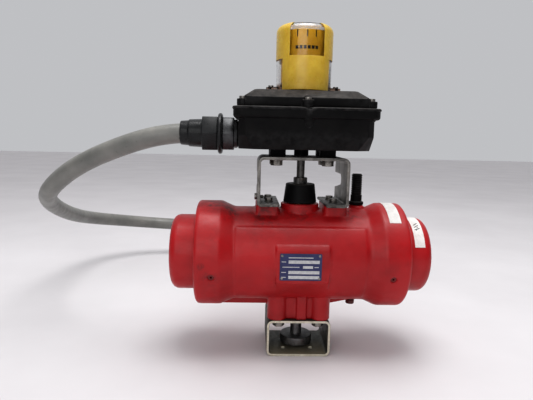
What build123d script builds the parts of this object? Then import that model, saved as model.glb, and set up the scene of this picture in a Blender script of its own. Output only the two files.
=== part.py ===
from build123d import *
import math
import os

# A quarter-turn pneumatic rack-and-pinion actuator with its valve mounting tube, top bracket,
# position switch box with a domed indicator, and the flexible conduit that leaves the box.
#
# Frame: origin on the shaft axis at the underside of the mounting tube, +X along the cylinder
# to the right, +Y to the back, +Z up the shaft. Millimetres.

# ---------------------------------------------------------------- driving dimensions
AXIS_Z = 124.0  # height of the cylinder axis

# Cylinder casting
WAIST_R = 58.5
FLANGE_R = 65.5
FLANGE_X = 128.4
FLANGE_STEP_X = 98.0
WAIST_X = 82.0
BORE_R = 50.0
STUB_BOTTOM = 46.0
LOBE_R = 12.2
LOBE_X = 27.0
VALVE_BOLT = 24.75  # half of the 49.5 mm square of the 70 mm bolt circle
STUB_BOLT_R = 4.1
SPIGOT_R = 27.5
RAIL_TOP = 188.3
BOSS_TOP = 189.0
BRACKET_BOLT_X = 40.0  # half of the 80 x 30 mm top interface
BRACKET_BOLT_Y = 15.0
PAD_HALF = 31.5
PAD_FRONT = 60.6
PAD_TOP = 146.0
PAD_FLAT_BOTTOM = 102.0  # from here the pad slopes back to the valve end
PAD_BOTTOM = 77.0
REAR_PAD_Y = 63.0
PORT_X = 12.0
PORT_R = 5.9
PORT_BOLT_X = 16.0
PORT_BOLT_Z = 12.0
PORT_BOLT_R = 2.1
RIB_HALF = 5.0

# End caps
CAP_R = 47.0
CAP_X = 159.5
CAP_IN_X = 116.0
CAP_PLUG_R = 49.8
CAP_WALL = 6.0

# Rack and pinion
MODULE = 2.0
TEETH = 20
PITCH_R = MODULE * TEETH / 2
PRESSURE_ANGLE = math.radians(20)
BACKLASH = 0.3
PISTON_R = 49.65
PISTON_IN = 44.0
PISTON_OUT = 60.0
RACK_END = 40.0
RACK_BACK = 38.0
RACK_HALF = 13.0
PINION_HALF = 15.0

# Shaft train
BUSH_GAP = 0.05
LOWER_R = 15.0
UPPER_R = 12.0
UPPER_BUSH_R = 15.0
LOWER_BUSH_R = 25.0
TOP_STUB_R = 8.7
SHAFT_BOTTOM = 47.0
SHAFT_TOP = 221.2
SLOT_W = 4.0
SLOT_DEPTH = 8.2
STEM_R = 7.25
SQUARE = 14.0
COUPLING_R = 20.5
COUPLING_Z = 5.5
COUPLING_H = 10.3
BOOT_Z = 190.0
BOOT_H = 23.5
BOOT_R = 21.0
BOOT_TOP_R = 18.0
SPINDLE_R = 5.0

# Exhaust breather
BREATHER_X = 76.5
BREATHER_Y = 20.0
BREATHER_SEAT = 185.3
BREATHER_RIB_Z = 198.0
BREATHER_PITCH = 2.9
BREATHER_R = 6.8
BREATHER_TOP = 225.4

# Mounting tube under the actuator
TUBE_W = 79.0
TUBE_D = 74.0
TUBE_H = 46.0
TUBE_WALL = 3.0
TUBE_CORNER = 7.0
FLOOR_BOLT = 17.68  # half of the 35.36 mm square of the 50 mm bolt circle
FLOOR_BOLT_R = 3.3

# Bracket between the actuator and the switch box
BRACKET_X = 54.7
BRACKET_Y = 40.3
BRACKET_TOP = 247.6
SHEET = 3.6
FOOT_IN = 29.5
BEND_R = 8.0  # outside radius of the top bends
FOOT_BEND_R = 5.2
BOX_BOLT_X = 31.5
BOX_BOLT_Y = 15.0

# Switch box
BOX_X = 78.0
BOX_Y = 58.0
BOX_BOTTOM = 256.4
BOX_KNEE = 272.0
LIP_Z = 292.0
LIP_TOP = 304.7
LIP_X = 84.0
LIP_Y = 62.0
BOX_WALL = 3.5
LID_X = 77.0
LID_Y = 56.0
LID_WALL_TOP = 316.0
LID_TOP = 325.0
LID_FLAT_X = 60.0
LID_FLAT_Y = 42.0
LID_SCREW_X = 73.5
LID_SCREW_Y = 50.0

# Indicator
DOME_R = 33.6
DOME_WALL = 2.0
DOME_TOP = 403.6
DOME_ROUND = 9.0
DOME_BASE_X = 46.0
DOME_BASE_H = 6.0
MASK_R = 34.4
MASK_RING_Z = 362.7
MASK_TOP = 404.4
WINDOW_Z = 365.4
WINDOW_HALF = 36.0
PANEL_HALF = 54.0
DRUM_R = 28.5
DRUM_Z = 334.0
DRUM_TOP = 395.8

# Cable entry and conduit
ENTRY_Z = 273.5
ENTRY_R = 11.6
CONDUIT_R = 12.25
CONDUIT_BORE_R = 9.5
CONDUIT_START_X = -128.0
RING_R = 25.0
NECK_HALF = 19.6  # half the hexagon across its flats

# The middle line of the conduit: out of the box to the left, round behind the actuator,
# down to the standing surface.
CONDUIT_ROUTE = [
    (CONDUIT_START_X, 0, ENTRY_Z),
    (-161, 0, ENTRY_Z),
    (-214, 1, 260),
    (-286, 19, 230),
    (-345, 63, 189),
    (-374, 148, 159),
    (-383, 258, 124),
    (-379, 361, 100),
    (-335, 437, 82),
    (-258, 474, 70),
    (-170, 466, 68),
    (-80, 435, 58),
    (5, 398, 40),
    (85, 362, RING_R),
    (150, 345, RING_R),
]
ARC_SHARE = 0.45  # share of the shorter run that each arc takes up

BORE_PLANE = Plane((0, 0, AXIS_Z), x_dir=(1, 0, 0), z_dir=(0, -1, 0))
BORE_AXIS = Axis((0, 0, AXIS_Z), (1, 0, 0))
ENTRY_PLANE = Plane((0, 0, ENTRY_Z), x_dir=(1, 0, 0), z_dir=(0, -1, 0))
ENTRY_AXIS = Axis((0, 0, ENTRY_Z), (1, 0, 0))
SIDES = {"left": -1, "right": 1}

os.makedirs("parts", exist_ok=True)


def save(piece, label):
    piece.part.label = label
    export_step(piece.part, f"parts/{label}.step")


def across(x, y):
    """The four corners of a rectangle centred on the shaft axis."""
    return GridLocations(2 * x, 2 * y, 2, 2)


def ring_edges(piece, axis, radius):
    """The round edges of one radius, sorted along an axis."""
    rings = piece.edges().filter_by(GeomType.CIRCLE)
    return rings.filter_by(lambda e: abs(e.radius - radius) < 0.01).sort_by(axis)


# ---------------------------------------------------------------- cylinder casting
def skin_band(x_low, x_high, radius, top_angle, bottom_angle):
    """A wedge of a disc about the cylinder axis: the thicker skin round the front."""
    reach = 2 * radius
    with BuildPart() as piece:
        with BuildSketch(Plane.YZ.offset(x_low)):
            with BuildLine():
                Polyline(
                    (0, AXIS_Z),
                    (-reach * math.cos(top_angle), AXIS_Z + reach * math.sin(top_angle)),
                    (-reach * 1.5, AXIS_Z),
                    (-reach * math.cos(bottom_angle), AXIS_Z - reach * math.sin(bottom_angle)),
                    close=True,
                )
            make_face()
            with Locations((0, AXIS_Z)):
                Circle(radius, mode=Mode.INTERSECT)
        extrude(amount=x_high - x_low)
    return piece.part


front_skin = skin_band(-WAIST_X + 2, WAIST_X - 6, WAIST_R + 1.2, math.radians(43.5), math.radians(52))

with BuildPart() as actuator_body:
    with BuildSketch(BORE_PLANE):
        with BuildLine():
            Polyline(
                (-FLANGE_X, 0),
                (-FLANGE_X, FLANGE_R),
                (-FLANGE_STEP_X, FLANGE_R),
                (-WAIST_X, WAIST_R),
                (WAIST_X, WAIST_R),
                (FLANGE_STEP_X, FLANGE_R),
                (FLANGE_X, FLANGE_R),
                (FLANGE_X, 0),
                close=True,
            )
        make_face()
    revolve(axis=BORE_AXIS)
    flange_rings = ring_edges(actuator_body, Axis.X, FLANGE_R)
    fillet([flange_rings[0], flange_rings[-1]], 5)
    fillet(ring_edges(actuator_body, Axis.X, FLANGE_R)[1:-1], 6)
    fillet(ring_edges(actuator_body, Axis.X, WAIST_R), 8)

    # Thicker front skin, flat nameplate pad, and the same two at the back for the air ports
    add(front_skin)
    with BuildSketch(Plane.YZ.offset(-PAD_HALF)):
        with BuildLine():
            Polyline(
                (0, PAD_TOP),
                (4 - PAD_FRONT, PAD_TOP),
                (-PAD_FRONT, PAD_TOP - 5.5),
                (-PAD_FRONT, PAD_FLAT_BOTTOM),
                (-38, PAD_BOTTOM),
                (0, PAD_BOTTOM),
                close=True,
            )
        make_face()
    extrude(amount=2 * PAD_HALF)
    with BuildSketch(Plane.XY.offset(AXIS_Z - 22)):
        Rectangle(52, REAR_PAD_Y, align=(Align.CENTER, Align.MIN))
    extrude(amount=44)

    # Valve end: four bolt lobes round a core, with a rib in the middle of each recess
    with BuildSketch(Plane.XY.offset(STUB_BOTTOM)):
        with across(LOBE_X, VALVE_BOLT):
            Circle(LOBE_R)
        Rectangle(2 * (LOBE_X + 8), 2 * VALVE_BOLT)
        Rectangle(2 * LOBE_X, 60)
        with Locations((3, 0)):
            Rectangle(12, 67)
    extrude(amount=AXIS_Z - STUB_BOTTOM - 30)

    # Keel ribs that run out from the valve end under the cylinder
    with BuildSketch(Plane.XZ.offset(-RIB_HALF)):
        with BuildLine():
            Polyline((-34, 57), (-102, 57), (-102, 75), (-34, 75), close=True)
        make_face()
        with BuildLine():
            Polyline((34, 57), (43, 58), (77, 65), (84, 69), (84, 75), (34, 75), close=True)
        make_face()
    extrude(amount=2 * RIB_HALF)

    # Top: rails for the bracket's feet, the shaft boss and the breather boss
    with BuildSketch(Plane.XY.offset(AXIS_Z + 30)):
        with GridLocations(84, 0, 2, 1):
            RectangleRounded(28, 54, 4)
        Circle(24)
    extrude(amount=RAIL_TOP - AXIS_Z - 30)
    with BuildSketch(Plane.XY.offset(AXIS_Z + 30)):
        with Locations((BREATHER_X, BREATHER_Y)):
            Circle(9.5)
    extrude(amount=BREATHER_SEAT - 0.3 - AXIS_Z - 30)
    with BuildSketch(Plane.XY.offset(RAIL_TOP - 1)):
        Circle(23)
    extrude(amount=BOSS_TOP - RAIL_TOP + 1)

    # Bore, shaft seats and the valve spigot's recess
    with BuildSketch(Plane.YZ.offset(-FLANGE_X)):
        with Locations((0, AXIS_Z)):
            Circle(BORE_R)
    extrude(amount=2 * FLANGE_X, mode=Mode.SUBTRACT)
    with BuildSketch(Plane.XY.offset(AXIS_Z)):
        Circle(UPPER_BUSH_R)
    extrude(amount=100, mode=Mode.SUBTRACT)
    with BuildSketch(Plane.XY.offset(AXIS_Z)):
        Circle(LOWER_BUSH_R)
    extrude(amount=-100, mode=Mode.SUBTRACT)
    with BuildSketch(Plane.XY.offset(STUB_BOTTOM)):
        Circle(SPIGOT_R)
    extrude(amount=3, mode=Mode.SUBTRACT)

    # Bolt holes below and on top
    with BuildSketch(Plane.XY.offset(STUB_BOTTOM)):
        with across(VALVE_BOLT, VALVE_BOLT):
            Circle(STUB_BOLT_R)
    extrude(amount=17, mode=Mode.SUBTRACT)
    with BuildSketch(Plane.XY.offset(RAIL_TOP)):
        with across(BRACKET_BOLT_X, BRACKET_BOLT_Y):
            Circle(2.6)
    extrude(amount=-10, mode=Mode.SUBTRACT)

    # Breather hole on top, drain plug hole below
    with BuildSketch(Plane.XY.offset(RAIL_TOP)):
        with Locations((BREATHER_X, BREATHER_Y)):
            Circle(5.1)
    extrude(amount=-25, mode=Mode.SUBTRACT)
    with BuildSketch(Plane.XY.offset(55)):
        with Locations((70, 0)):
            Circle(4.1)
    extrude(amount=25, mode=Mode.SUBTRACT)

    # Air ports at the back: the first feeds the middle chamber, the second is blind
    with BuildSketch(Plane((0, REAR_PAD_Y, AXIS_Z), x_dir=(1, 0, 0), z_dir=(0, -1, 0))):
        with GridLocations(2 * PORT_X, 0, 2, 1):
            Circle(PORT_R)
        with across(PORT_BOLT_X, PORT_BOLT_Z):
            Circle(PORT_BOLT_R)
    extrude(amount=12, mode=Mode.SUBTRACT)
    with BuildSketch(Plane((0, REAR_PAD_Y - 10, AXIS_Z), x_dir=(1, 0, 0), z_dir=(0, -1, 0))):
        with Locations((-PORT_X, 0)):
            Circle(3)
    extrude(amount=15, mode=Mode.SUBTRACT)

    # Pockets of the retaining-wire plugs on the two flanges
    for side in SIDES.values():
        with BuildSketch(Plane((side * 107, -63.4, AXIS_Z - 17), x_dir=(1, 0, 0), z_dir=(0, -1, -0.27))):
            Circle(3.6)
        extrude(amount=6, both=True, mode=Mode.SUBTRACT)
save(actuator_body, "actuator_body")

# ---------------------------------------------------------------- end caps, their rings and springs
for name, side in SIDES.items():
    with BuildPart() as end_cap:
        with BuildSketch(BORE_PLANE):
            with BuildLine():
                Polyline(
                    (side * CAP_IN_X, CAP_PLUG_R),
                    (side * (CAP_IN_X + 2.5), CAP_PLUG_R),
                    (side * (CAP_IN_X + 2.5), CAP_PLUG_R - 2.4),
                    (side * (CAP_IN_X + 6), CAP_PLUG_R - 2.4),
                    (side * (CAP_IN_X + 6), CAP_PLUG_R),
                    (side * (CAP_IN_X + 9), CAP_PLUG_R),
                    (side * (CAP_IN_X + 9), CAP_R),
                    (side * CAP_X, CAP_R),
                    (side * CAP_X, 0),
                    (side * (CAP_X - CAP_WALL), 0),
                    (side * (CAP_X - CAP_WALL), CAP_R - CAP_WALL),
                    (side * CAP_IN_X, CAP_R - CAP_WALL),
                    close=True,
                )
            make_face()
        revolve(axis=BORE_AXIS)
        outer = ring_edges(end_cap, Axis.X, CAP_R)
        fillet(outer[-1] if side > 0 else outer[0], 10)
    save(end_cap, f"{name}_end_cap")

    # Coil spring between the piston's recess and the cap
    with BuildPart() as spring:
        coil_start = side * (PISTON_OUT - 5 + 4.2)
        coil_length = CAP_X - CAP_WALL - PISTON_OUT + 5 - 8.4
        with BuildLine() as coil:
            Helix(coil_length / 6, coil_length, 30, center=(coil_start, 0, AXIS_Z), direction=(side, 0, 0))
        with BuildSketch(Plane(coil.line @ 0, z_dir=coil.line % 0)):
            Circle(3.6)
        sweep(is_frenet=True)
    save(spring, f"{name}_spring")

with BuildPart() as end_cap_seals:
    for side in SIDES.values():
        with BuildSketch(BORE_PLANE):
            with Locations((side * (CAP_IN_X + 4.25), CAP_PLUG_R - 1.2)):
                Circle(1.15)
        revolve(axis=BORE_AXIS)
save(end_cap_seals, "end_cap_seals")

with BuildPart() as end_cap_retaining_rings:
    for side in SIDES.values():
        with BuildSketch(BORE_PLANE):
            with Locations((side * (CAP_IN_X + 10.6), (CAP_R + BORE_R) / 2)):
                Circle(1.3)
        revolve(axis=BORE_AXIS)
save(end_cap_retaining_rings, "end_cap_retaining_rings")


# ---------------------------------------------------------------- pistons with their racks
def rack_space_width(depth):
    """Width of the gap between two rack teeth, depth below the tooth tips."""
    return math.pi * MODULE / 2 + BACKLASH + 2 * (MODULE - depth) * math.tan(PRESSURE_ANGLE)


for name, side in SIDES.items():
    # The right piston's rack runs in front of the pinion and the left one's behind it
    with BuildPart() as piston:
        with BuildSketch(BORE_PLANE):
            with BuildLine():
                Polyline(
                    (side * PISTON_IN, 0),
                    (side * PISTON_IN, PISTON_R),
                    (side * (PISTON_IN + 3), PISTON_R),
                    (side * (PISTON_IN + 3), PISTON_R - 2.2),
                    (side * (PISTON_IN + 7), PISTON_R - 2.2),
                    (side * (PISTON_IN + 7), PISTON_R),
                    (side * (PISTON_IN + 9), PISTON_R),
                    (side * (PISTON_IN + 9), PISTON_R - 2.6),
                    (side * (PISTON_IN + 12.4), PISTON_R - 2.6),
                    (side * (PISTON_IN + 12.4), PISTON_R),
                    (side * PISTON_OUT, PISTON_R),
                    (side * PISTON_OUT, 38),
                    (side * (PISTON_OUT - 5), 38),
                    (side * (PISTON_OUT - 5), 0),
                    close=True,
                )
            make_face()
        revolve(axis=BORE_AXIS)
        with BuildSketch(Plane.XY.offset(AXIS_Z - RACK_HALF)):
            with Locations((side * (PISTON_IN + 2 - RACK_END) / 2, -side * (RACK_BACK + PITCH_R - MODULE) / 2)):
                Rectangle(PISTON_IN + 2 + RACK_END, RACK_BACK - PITCH_R + MODULE)
        extrude(amount=2 * RACK_HALF)
        with BuildSketch(Plane.XY.offset(AXIS_Z - RACK_HALF)):
            tip, root = PITCH_R - MODULE, PITCH_R + 1.25 * MODULE
            for step in range(-6, 7):
                centre = step * math.pi * MODULE
                wide, narrow = rack_space_width(0) / 2, rack_space_width(root - tip) / 2
                with BuildLine():
                    Polyline(
                        (centre - wide, -side * tip),
                        (centre - narrow, -side * root),
                        (centre + narrow, -side * root),
                        (centre + wide, -side * tip),
                        close=True,
                    )
                make_face()
        extrude(amount=2 * RACK_HALF, mode=Mode.SUBTRACT)
    save(piston, f"{name}_piston")

    with BuildPart() as piston_seal:
        with BuildSketch(BORE_PLANE):
            with Locations((side * (PISTON_IN + 10.7), PISTON_R - 1.3)):
                Circle(1.25)
        revolve(axis=BORE_AXIS)
    save(piston_seal, f"{name}_piston_seal")

    with BuildPart() as guide_band:
        with BuildSketch(BORE_PLANE):
            with Locations((side * (PISTON_IN + 5), PISTON_R - 1)):
                Rectangle(3.8, 2.2)
        revolve(axis=BORE_AXIS)
    save(guide_band, f"{name}_guide_band")


# ---------------------------------------------------------------- pinion shaft
def involute_point(radius, flank):
    """A point of one involute flank of the tooth centred on +X, flank = 1 or -1."""
    base = PITCH_R * math.cos(PRESSURE_ANGLE)
    angle = math.acos(min(1, base / max(radius, base)))
    spread = math.tan(angle) - angle
    at_pitch = math.tan(PRESSURE_ANGLE) - PRESSURE_ANGLE
    half_tooth = (math.pi * MODULE / 2 - BACKLASH) / (2 * PITCH_R)
    turn = flank * (half_tooth + at_pitch - spread)
    return (radius, turn)


def pinion_outline():
    """The corners of the toothed outline, tooth by tooth."""
    radii = [PITCH_R - 1.25 * MODULE, PITCH_R - 0.5 * MODULE, PITCH_R, PITCH_R + 0.5 * MODULE, PITCH_R + MODULE]
    corners = []
    for tooth in range(TEETH):
        middle = tooth * 2 * math.pi / TEETH
        rising = [involute_point(radius, -1) for radius in radii]
        falling = [involute_point(radius, 1) for radius in reversed(radii)]
        for radius, turn in rising + falling:
            corners.append((radius * math.cos(middle + turn), radius * math.sin(middle + turn)))
    return corners


with BuildPart() as drive_shaft:
    with BuildSketch(Plane.XY.offset(SHAFT_BOTTOM)):
        Circle(LOWER_R)
    extrude(amount=AXIS_Z - SHAFT_BOTTOM)
    with BuildSketch(Plane.XY.offset(AXIS_Z - PINION_HALF)):
        with BuildLine():
            Polyline(*pinion_outline(), close=True)
        make_face()
    extrude(amount=2 * PINION_HALF)
    with BuildSketch(Plane.XY.offset(AXIS_Z)):
        Circle(UPPER_R)
    extrude(amount=BOSS_TOP - AXIS_Z + 0.4)
    with BuildSketch(Plane.XY.offset(BOSS_TOP)):
        Circle(TOP_STUB_R)
    extrude(amount=SHAFT_TOP - BOSS_TOP)
    chamfer(ring_edges(drive_shaft, Axis.Z, TOP_STUB_R)[-1], 0.8)
    # Slot in the top for the switch spindle's tongue, square socket in the bottom
    with BuildSketch(Plane.XY.offset(SHAFT_TOP)):
        Rectangle(SLOT_W, 3 * TOP_STUB_R)
    extrude(amount=-SLOT_DEPTH, mode=Mode.SUBTRACT)
    with BuildSketch(Plane.XY.offset(SHAFT_BOTTOM)):
        Rectangle(SQUARE, SQUARE)
    extrude(amount=18, mode=Mode.SUBTRACT)
    # O-ring grooves in the two journals
    for height, radius in ((66.0, LOWER_R), (181.0, UPPER_R)):
        with BuildSketch(Plane.XY.offset(height)):
            Circle(radius + 2)
            Circle(radius - 1.8, mode=Mode.SUBTRACT)
        extrude(amount=3, mode=Mode.SUBTRACT)
save(drive_shaft, "drive_shaft")

with BuildPart() as shaft_o_rings:
    for height, radius in ((67.5, LOWER_R), (182.5, UPPER_R)):
        with BuildSketch(Plane.XZ):
            with Locations((radius - 0.9, height)):
                Circle(0.88)
        revolve(axis=Axis.Z)
save(shaft_o_rings, "shaft_o_rings")

with BuildPart() as upper_bush:
    with BuildSketch(Plane.XY.offset(175.5)):
        Circle(UPPER_BUSH_R - 0.02)
        Circle(UPPER_R + BUSH_GAP, mode=Mode.SUBTRACT)
    extrude(amount=BOSS_TOP - 175.5)
save(upper_bush, "upper_bush")

with BuildPart() as lower_bush:
    with BuildSketch(Plane.XY.offset(52)):
        Circle(LOWER_BUSH_R - 0.02)
        Circle(LOWER_R + BUSH_GAP, mode=Mode.SUBTRACT)
    extrude(amount=20)
save(lower_bush, "lower_bush")

with BuildPart() as shaft_circlip:
    with BuildSketch(Plane.XY.offset(BOOT_Z + 0.3)):
        Circle(12.5)
        Circle(TOP_STUB_R + 0.03, mode=Mode.SUBTRACT)
        with Locations((0, 11)):
            Rectangle(4, 8, mode=Mode.SUBTRACT)
    extrude(amount=1.2)
save(shaft_circlip, "shaft_circlip")

with BuildPart() as thrust_washer:
    with BuildSketch(Plane.XY.offset(BOSS_TOP + 0.1)):
        Circle(14.5)
        Circle(UPPER_R + 0.1, mode=Mode.SUBTRACT)
    extrude(amount=1)
save(thrust_washer, "thrust_washer")

with BuildPart() as position_boot:
    with BuildSketch(Plane.XZ):
        with BuildLine():
            Polyline(
                (TOP_STUB_R + 0.1, BOOT_Z + BOOT_H),
                (BOOT_TOP_R, BOOT_Z + BOOT_H),
                (BOOT_R, BOOT_Z),
                (16, BOOT_Z),
                (16, BOOT_Z + 3),
                (TOP_STUB_R + 0.1, BOOT_Z + 3),
                close=True,
            )
        make_face()
    revolve(axis=Axis.Z)
    fillet(ring_edges(position_boot, Axis.Z, BOOT_TOP_R), 1.5)
save(position_boot, "position_boot")

with BuildPart() as output_coupling:
    with BuildSketch(Plane.XY.offset(COUPLING_Z)):
        Circle(COUPLING_R)
    extrude(amount=COUPLING_H)
    fillet(ring_edges(output_coupling, Axis.Z, COUPLING_R), 1.2)
    with BuildSketch(Plane.XY.offset(COUPLING_Z + COUPLING_H)):
        Circle(STEM_R)
    extrude(amount=SHAFT_BOTTOM - COUPLING_Z - COUPLING_H)
    with BuildSketch(Plane.XY.offset(SHAFT_BOTTOM)):
        Rectangle(9.8, 9.8)
    extrude(amount=16)
    # Square socket that takes the valve's own stem
    with BuildSketch(Plane.XY.offset(COUPLING_Z)):
        Rectangle(9, 9)
    extrude(amount=14, mode=Mode.SUBTRACT)
save(output_coupling, "output_coupling")

with BuildPart() as square_insert:
    with BuildSketch(Plane.XY.offset(SHAFT_BOTTOM + 0.1)):
        Rectangle(SQUARE - 0.04, SQUARE - 0.04)
        Rectangle(9.84, 9.84, mode=Mode.SUBTRACT)
    extrude(amount=15.8)
save(square_insert, "square_insert")

# ---------------------------------------------------------------- small pieces on the casting
with BuildPart() as nameplate:
    with BuildSketch(Plane((-2.65, -PAD_FRONT, 121), x_dir=(1, 0, 0), z_dir=(0, -1, 0))):
        RectangleRounded(49.2, 32, 1.2)
        with GridLocations(44, 27, 2, 2):
            Circle(0.9, mode=Mode.SUBTRACT)
    extrude(amount=0.7)
save(nameplate, "nameplate")


def label_patch(x_low, x_high, radius, low_angle, high_angle):
    """A thin sheet wrapped round the cylinder axis, angles measured up from the front."""
    with BuildPart() as piece:
        with BuildSketch(Plane.YZ.offset(x_low)):
            reach = 2 * radius
            with BuildLine():
                Polyline(
                    (0, AXIS_Z),
                    (-reach * math.cos(low_angle), AXIS_Z + reach * math.sin(low_angle)),
                    (-reach * math.cos(high_angle), AXIS_Z + reach * math.sin(high_angle)),
                    close=True,
                )
            make_face()
            with Locations((0, AXIS_Z)):
                Circle(radius + 0.35, mode=Mode.INTERSECT)
                Circle(radius + 0.02, mode=Mode.SUBTRACT)
        extrude(amount=x_high - x_low)
    return piece.part


flange_label = label_patch(104, 118, FLANGE_R, math.radians(47), math.radians(108))
cap_label = label_patch(137, 149.3, CAP_R, math.radians(23), math.radians(100))
with BuildPart() as paper_labels:
    add(flange_label)
    add(cap_label)
save(paper_labels, "paper_labels")

with BuildPart() as wire_plugs:
    for side in SIDES.values():
        with BuildSketch(Plane((side * 107, -61.6, AXIS_Z - 16.5), x_dir=(1, 0, 0), z_dir=(0, -1, -0.27))):
            Circle(3.5)
            Circle(1.4, mode=Mode.SUBTRACT)
        extrude(amount=-4)
save(wire_plugs, "wire_plugs")

with BuildPart() as drain_plug:
    with BuildSketch(Plane.XY.offset(57.2)):
        with Locations((70, 0)):
            Circle(5.6)
    extrude(amount=5)
    with BuildSketch(Plane.XY.offset(58)):
        with Locations((70, 0)):
            Circle(4)
    extrude(amount=14)
save(drain_plug, "drain_plug")

with BuildPart() as exhaust_breather:
    with BuildSketch(Plane.XZ.offset(-BREATHER_Y)):
        with BuildLine():
            Polyline(
                (BREATHER_X, 172),
                (BREATHER_X + 5, 172),
                (BREATHER_X + 5, BREATHER_SEAT),
                (BREATHER_X + 9.6, BREATHER_SEAT),
                (BREATHER_X + 9.6, BREATHER_SEAT + 3.4),
                (BREATHER_X + 7.3, BREATHER_SEAT + 4.4),
                (BREATHER_X + 7.3, BREATHER_RIB_Z),
                (BREATHER_X, BREATHER_RIB_Z),
                close=True,
            )
        make_face()
    revolve(axis=Axis((BREATHER_X, BREATHER_Y, 0), (0, 0, 1)))
    with BuildSketch(Plane.XY.offset(BREATHER_RIB_Z)):
        with Locations((BREATHER_X, BREATHER_Y)):
            Circle(BREATHER_R - 0.9)
    extrude(amount=BREATHER_TOP - BREATHER_RIB_Z)
    for rib in range(9):
        with BuildSketch(Plane.XY.offset(BREATHER_RIB_Z + 1 + BREATHER_PITCH * rib)):
            with Locations((BREATHER_X, BREATHER_Y)):
                Circle(BREATHER_R)
        extrude(amount=BREATHER_PITCH - 0.9)
save(exhaust_breather, "exhaust_breather")

# ---------------------------------------------------------------- mounting tube and its bolts
with BuildPart() as mounting_tube:
    with BuildSketch(Plane.XZ.offset(-TUBE_D / 2)):
        with Locations((0, TUBE_H / 2)):
            RectangleRounded(TUBE_W, TUBE_H, TUBE_CORNER)
            RectangleRounded(
                TUBE_W - 2 * TUBE_WALL, TUBE_H - 2 * TUBE_WALL, TUBE_CORNER - TUBE_WALL, mode=Mode.SUBTRACT
            )
    extrude(amount=TUBE_D)
    with BuildSketch(Plane.XY.offset(TUBE_H / 2)):
        Circle(16)
        with across(VALVE_BOLT, VALVE_BOLT):
            Circle(4.5)
    extrude(amount=TUBE_H, mode=Mode.SUBTRACT)
    with BuildSketch(Plane.XY.offset(TUBE_H / 2)):
        Circle(12)
        with across(FLOOR_BOLT, FLOOR_BOLT):
            Circle(FLOOR_BOLT_R)
    extrude(amount=-TUBE_H, mode=Mode.SUBTRACT)
save(mounting_tube, "mounting_tube")


def hex_bolts(points, top, flats, head, shank_r, length):
    """Hexagon bolts, head upward when length is positive, downward when it is negative."""
    up = 1 if length > 0 else -1
    with BuildPart() as piece:
        with BuildSketch(Plane.XY.offset(top)):
            with Locations(*points):
                RegularPolygon(flats / 2, 6, major_radius=False)
        extrude(amount=up * head)
        with BuildSketch(Plane.XY.offset(top)):
            with Locations(*points):
                Circle(shank_r)
        extrude(amount=-length)
    return piece


def washers(points, base, outer_r, inner_r, thick):
    with BuildPart() as piece:
        with BuildSketch(Plane.XY.offset(base)):
            with Locations(*points):
                Circle(outer_r)
                Circle(inner_r, mode=Mode.SUBTRACT)
        extrude(amount=thick)
    return piece


def corner_points(x, y):
    return [(sx * x, sy * y) for sx in (-1, 1) for sy in (-1, 1)]


roof = TUBE_H - TUBE_WALL
valve_bolts = corner_points(VALVE_BOLT, VALVE_BOLT)
save(washers(valve_bolts, roof - 1.6, 8, 4.3, 1.6), "tube_bolt_washers")
save(hex_bolts(valve_bolts, roof - 1.6, 13, 5.3, 4, -18), "tube_bolts")

# ---------------------------------------------------------------- bracket under the switch box
with BuildPart() as upper_bracket:
    with BuildSketch(Plane.XZ.offset(-BRACKET_Y)):
        with BuildLine():
            half = FilletPolyline(
                (0, BRACKET_TOP - SHEET / 2),
                (BRACKET_X - SHEET / 2, BRACKET_TOP - SHEET / 2),
                (BRACKET_X - SHEET / 2, RAIL_TOP + SHEET / 2),
                (FOOT_IN, RAIL_TOP + SHEET / 2),
                radius=[BEND_R - SHEET / 2, FOOT_BEND_R - SHEET / 2],
            )
            mirror(half, about=Plane.YZ)
            offset(amount=SHEET / 2, side=Side.BOTH)
        make_face()
    extrude(amount=2 * BRACKET_Y)
    # Holes: spindle and box bolts in the plate, casting bolts in the feet
    with BuildSketch(Plane.XY.offset(BRACKET_TOP + 1)):
        Circle(13)
        with across(BOX_BOLT_X, BOX_BOLT_Y):
            Circle(4.5)
    extrude(amount=-8, mode=Mode.SUBTRACT)
    with BuildSketch(Plane.XY.offset(RAIL_TOP - 1)):
        with across(BRACKET_BOLT_X, BRACKET_BOLT_Y):
            Circle(2.8)
    extrude(amount=8, mode=Mode.SUBTRACT)
    # A notch in the back edge of each leg
    with BuildSketch(Plane.YZ.offset(-BRACKET_X - 1)):
        with BuildLine():
            Polyline((50, 205), (36, 207), (0, 213), (-3, 216), (-3, 222), (1, 226), (50, 226), close=True)
        make_face()
    extrude(amount=2 * BRACKET_X + 2, mode=Mode.SUBTRACT)
    with BuildSketch(Plane.YZ.offset(-BRACKET_X - 1)):
        with Locations((-8, RAIL_TOP + 8.5)):
            Circle(2.2)
    extrude(amount=6, mode=Mode.SUBTRACT)
save(upper_bracket, "upper_bracket")

foot_top = RAIL_TOP + SHEET
foot_points = corner_points(BRACKET_BOLT_X, BRACKET_BOLT_Y)
save(washers(foot_points, foot_top, 5.2, 2.6, 1), "foot_bolt_washers")
save(hex_bolts(foot_points, foot_top + 1, 8, 3.6, 2.5, 13), "foot_bolts")

with BuildPart() as earth_screw:
    earth_plane = Plane((-BRACKET_X, -8, RAIL_TOP + 8.5), x_dir=(0, 1, 0), z_dir=(-1, 0, 0))
    with BuildSketch(earth_plane):
        RegularPolygon(3.8, 6, major_radius=False)
    extrude(amount=3)
    with BuildSketch(earth_plane):
        Circle(2)
    extrude(amount=-8)
save(earth_screw, "earth_screw")

under_plate = BRACKET_TOP - SHEET
box_points = corner_points(BOX_BOLT_X, BOX_BOLT_Y)
save(washers(box_points, under_plate - 1.6, 8, 4.3, 1.6), "box_bolt_washers")
save(hex_bolts(box_points, under_plate - 1.6, 13, 6, 4, -16), "box_bolts")


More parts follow.
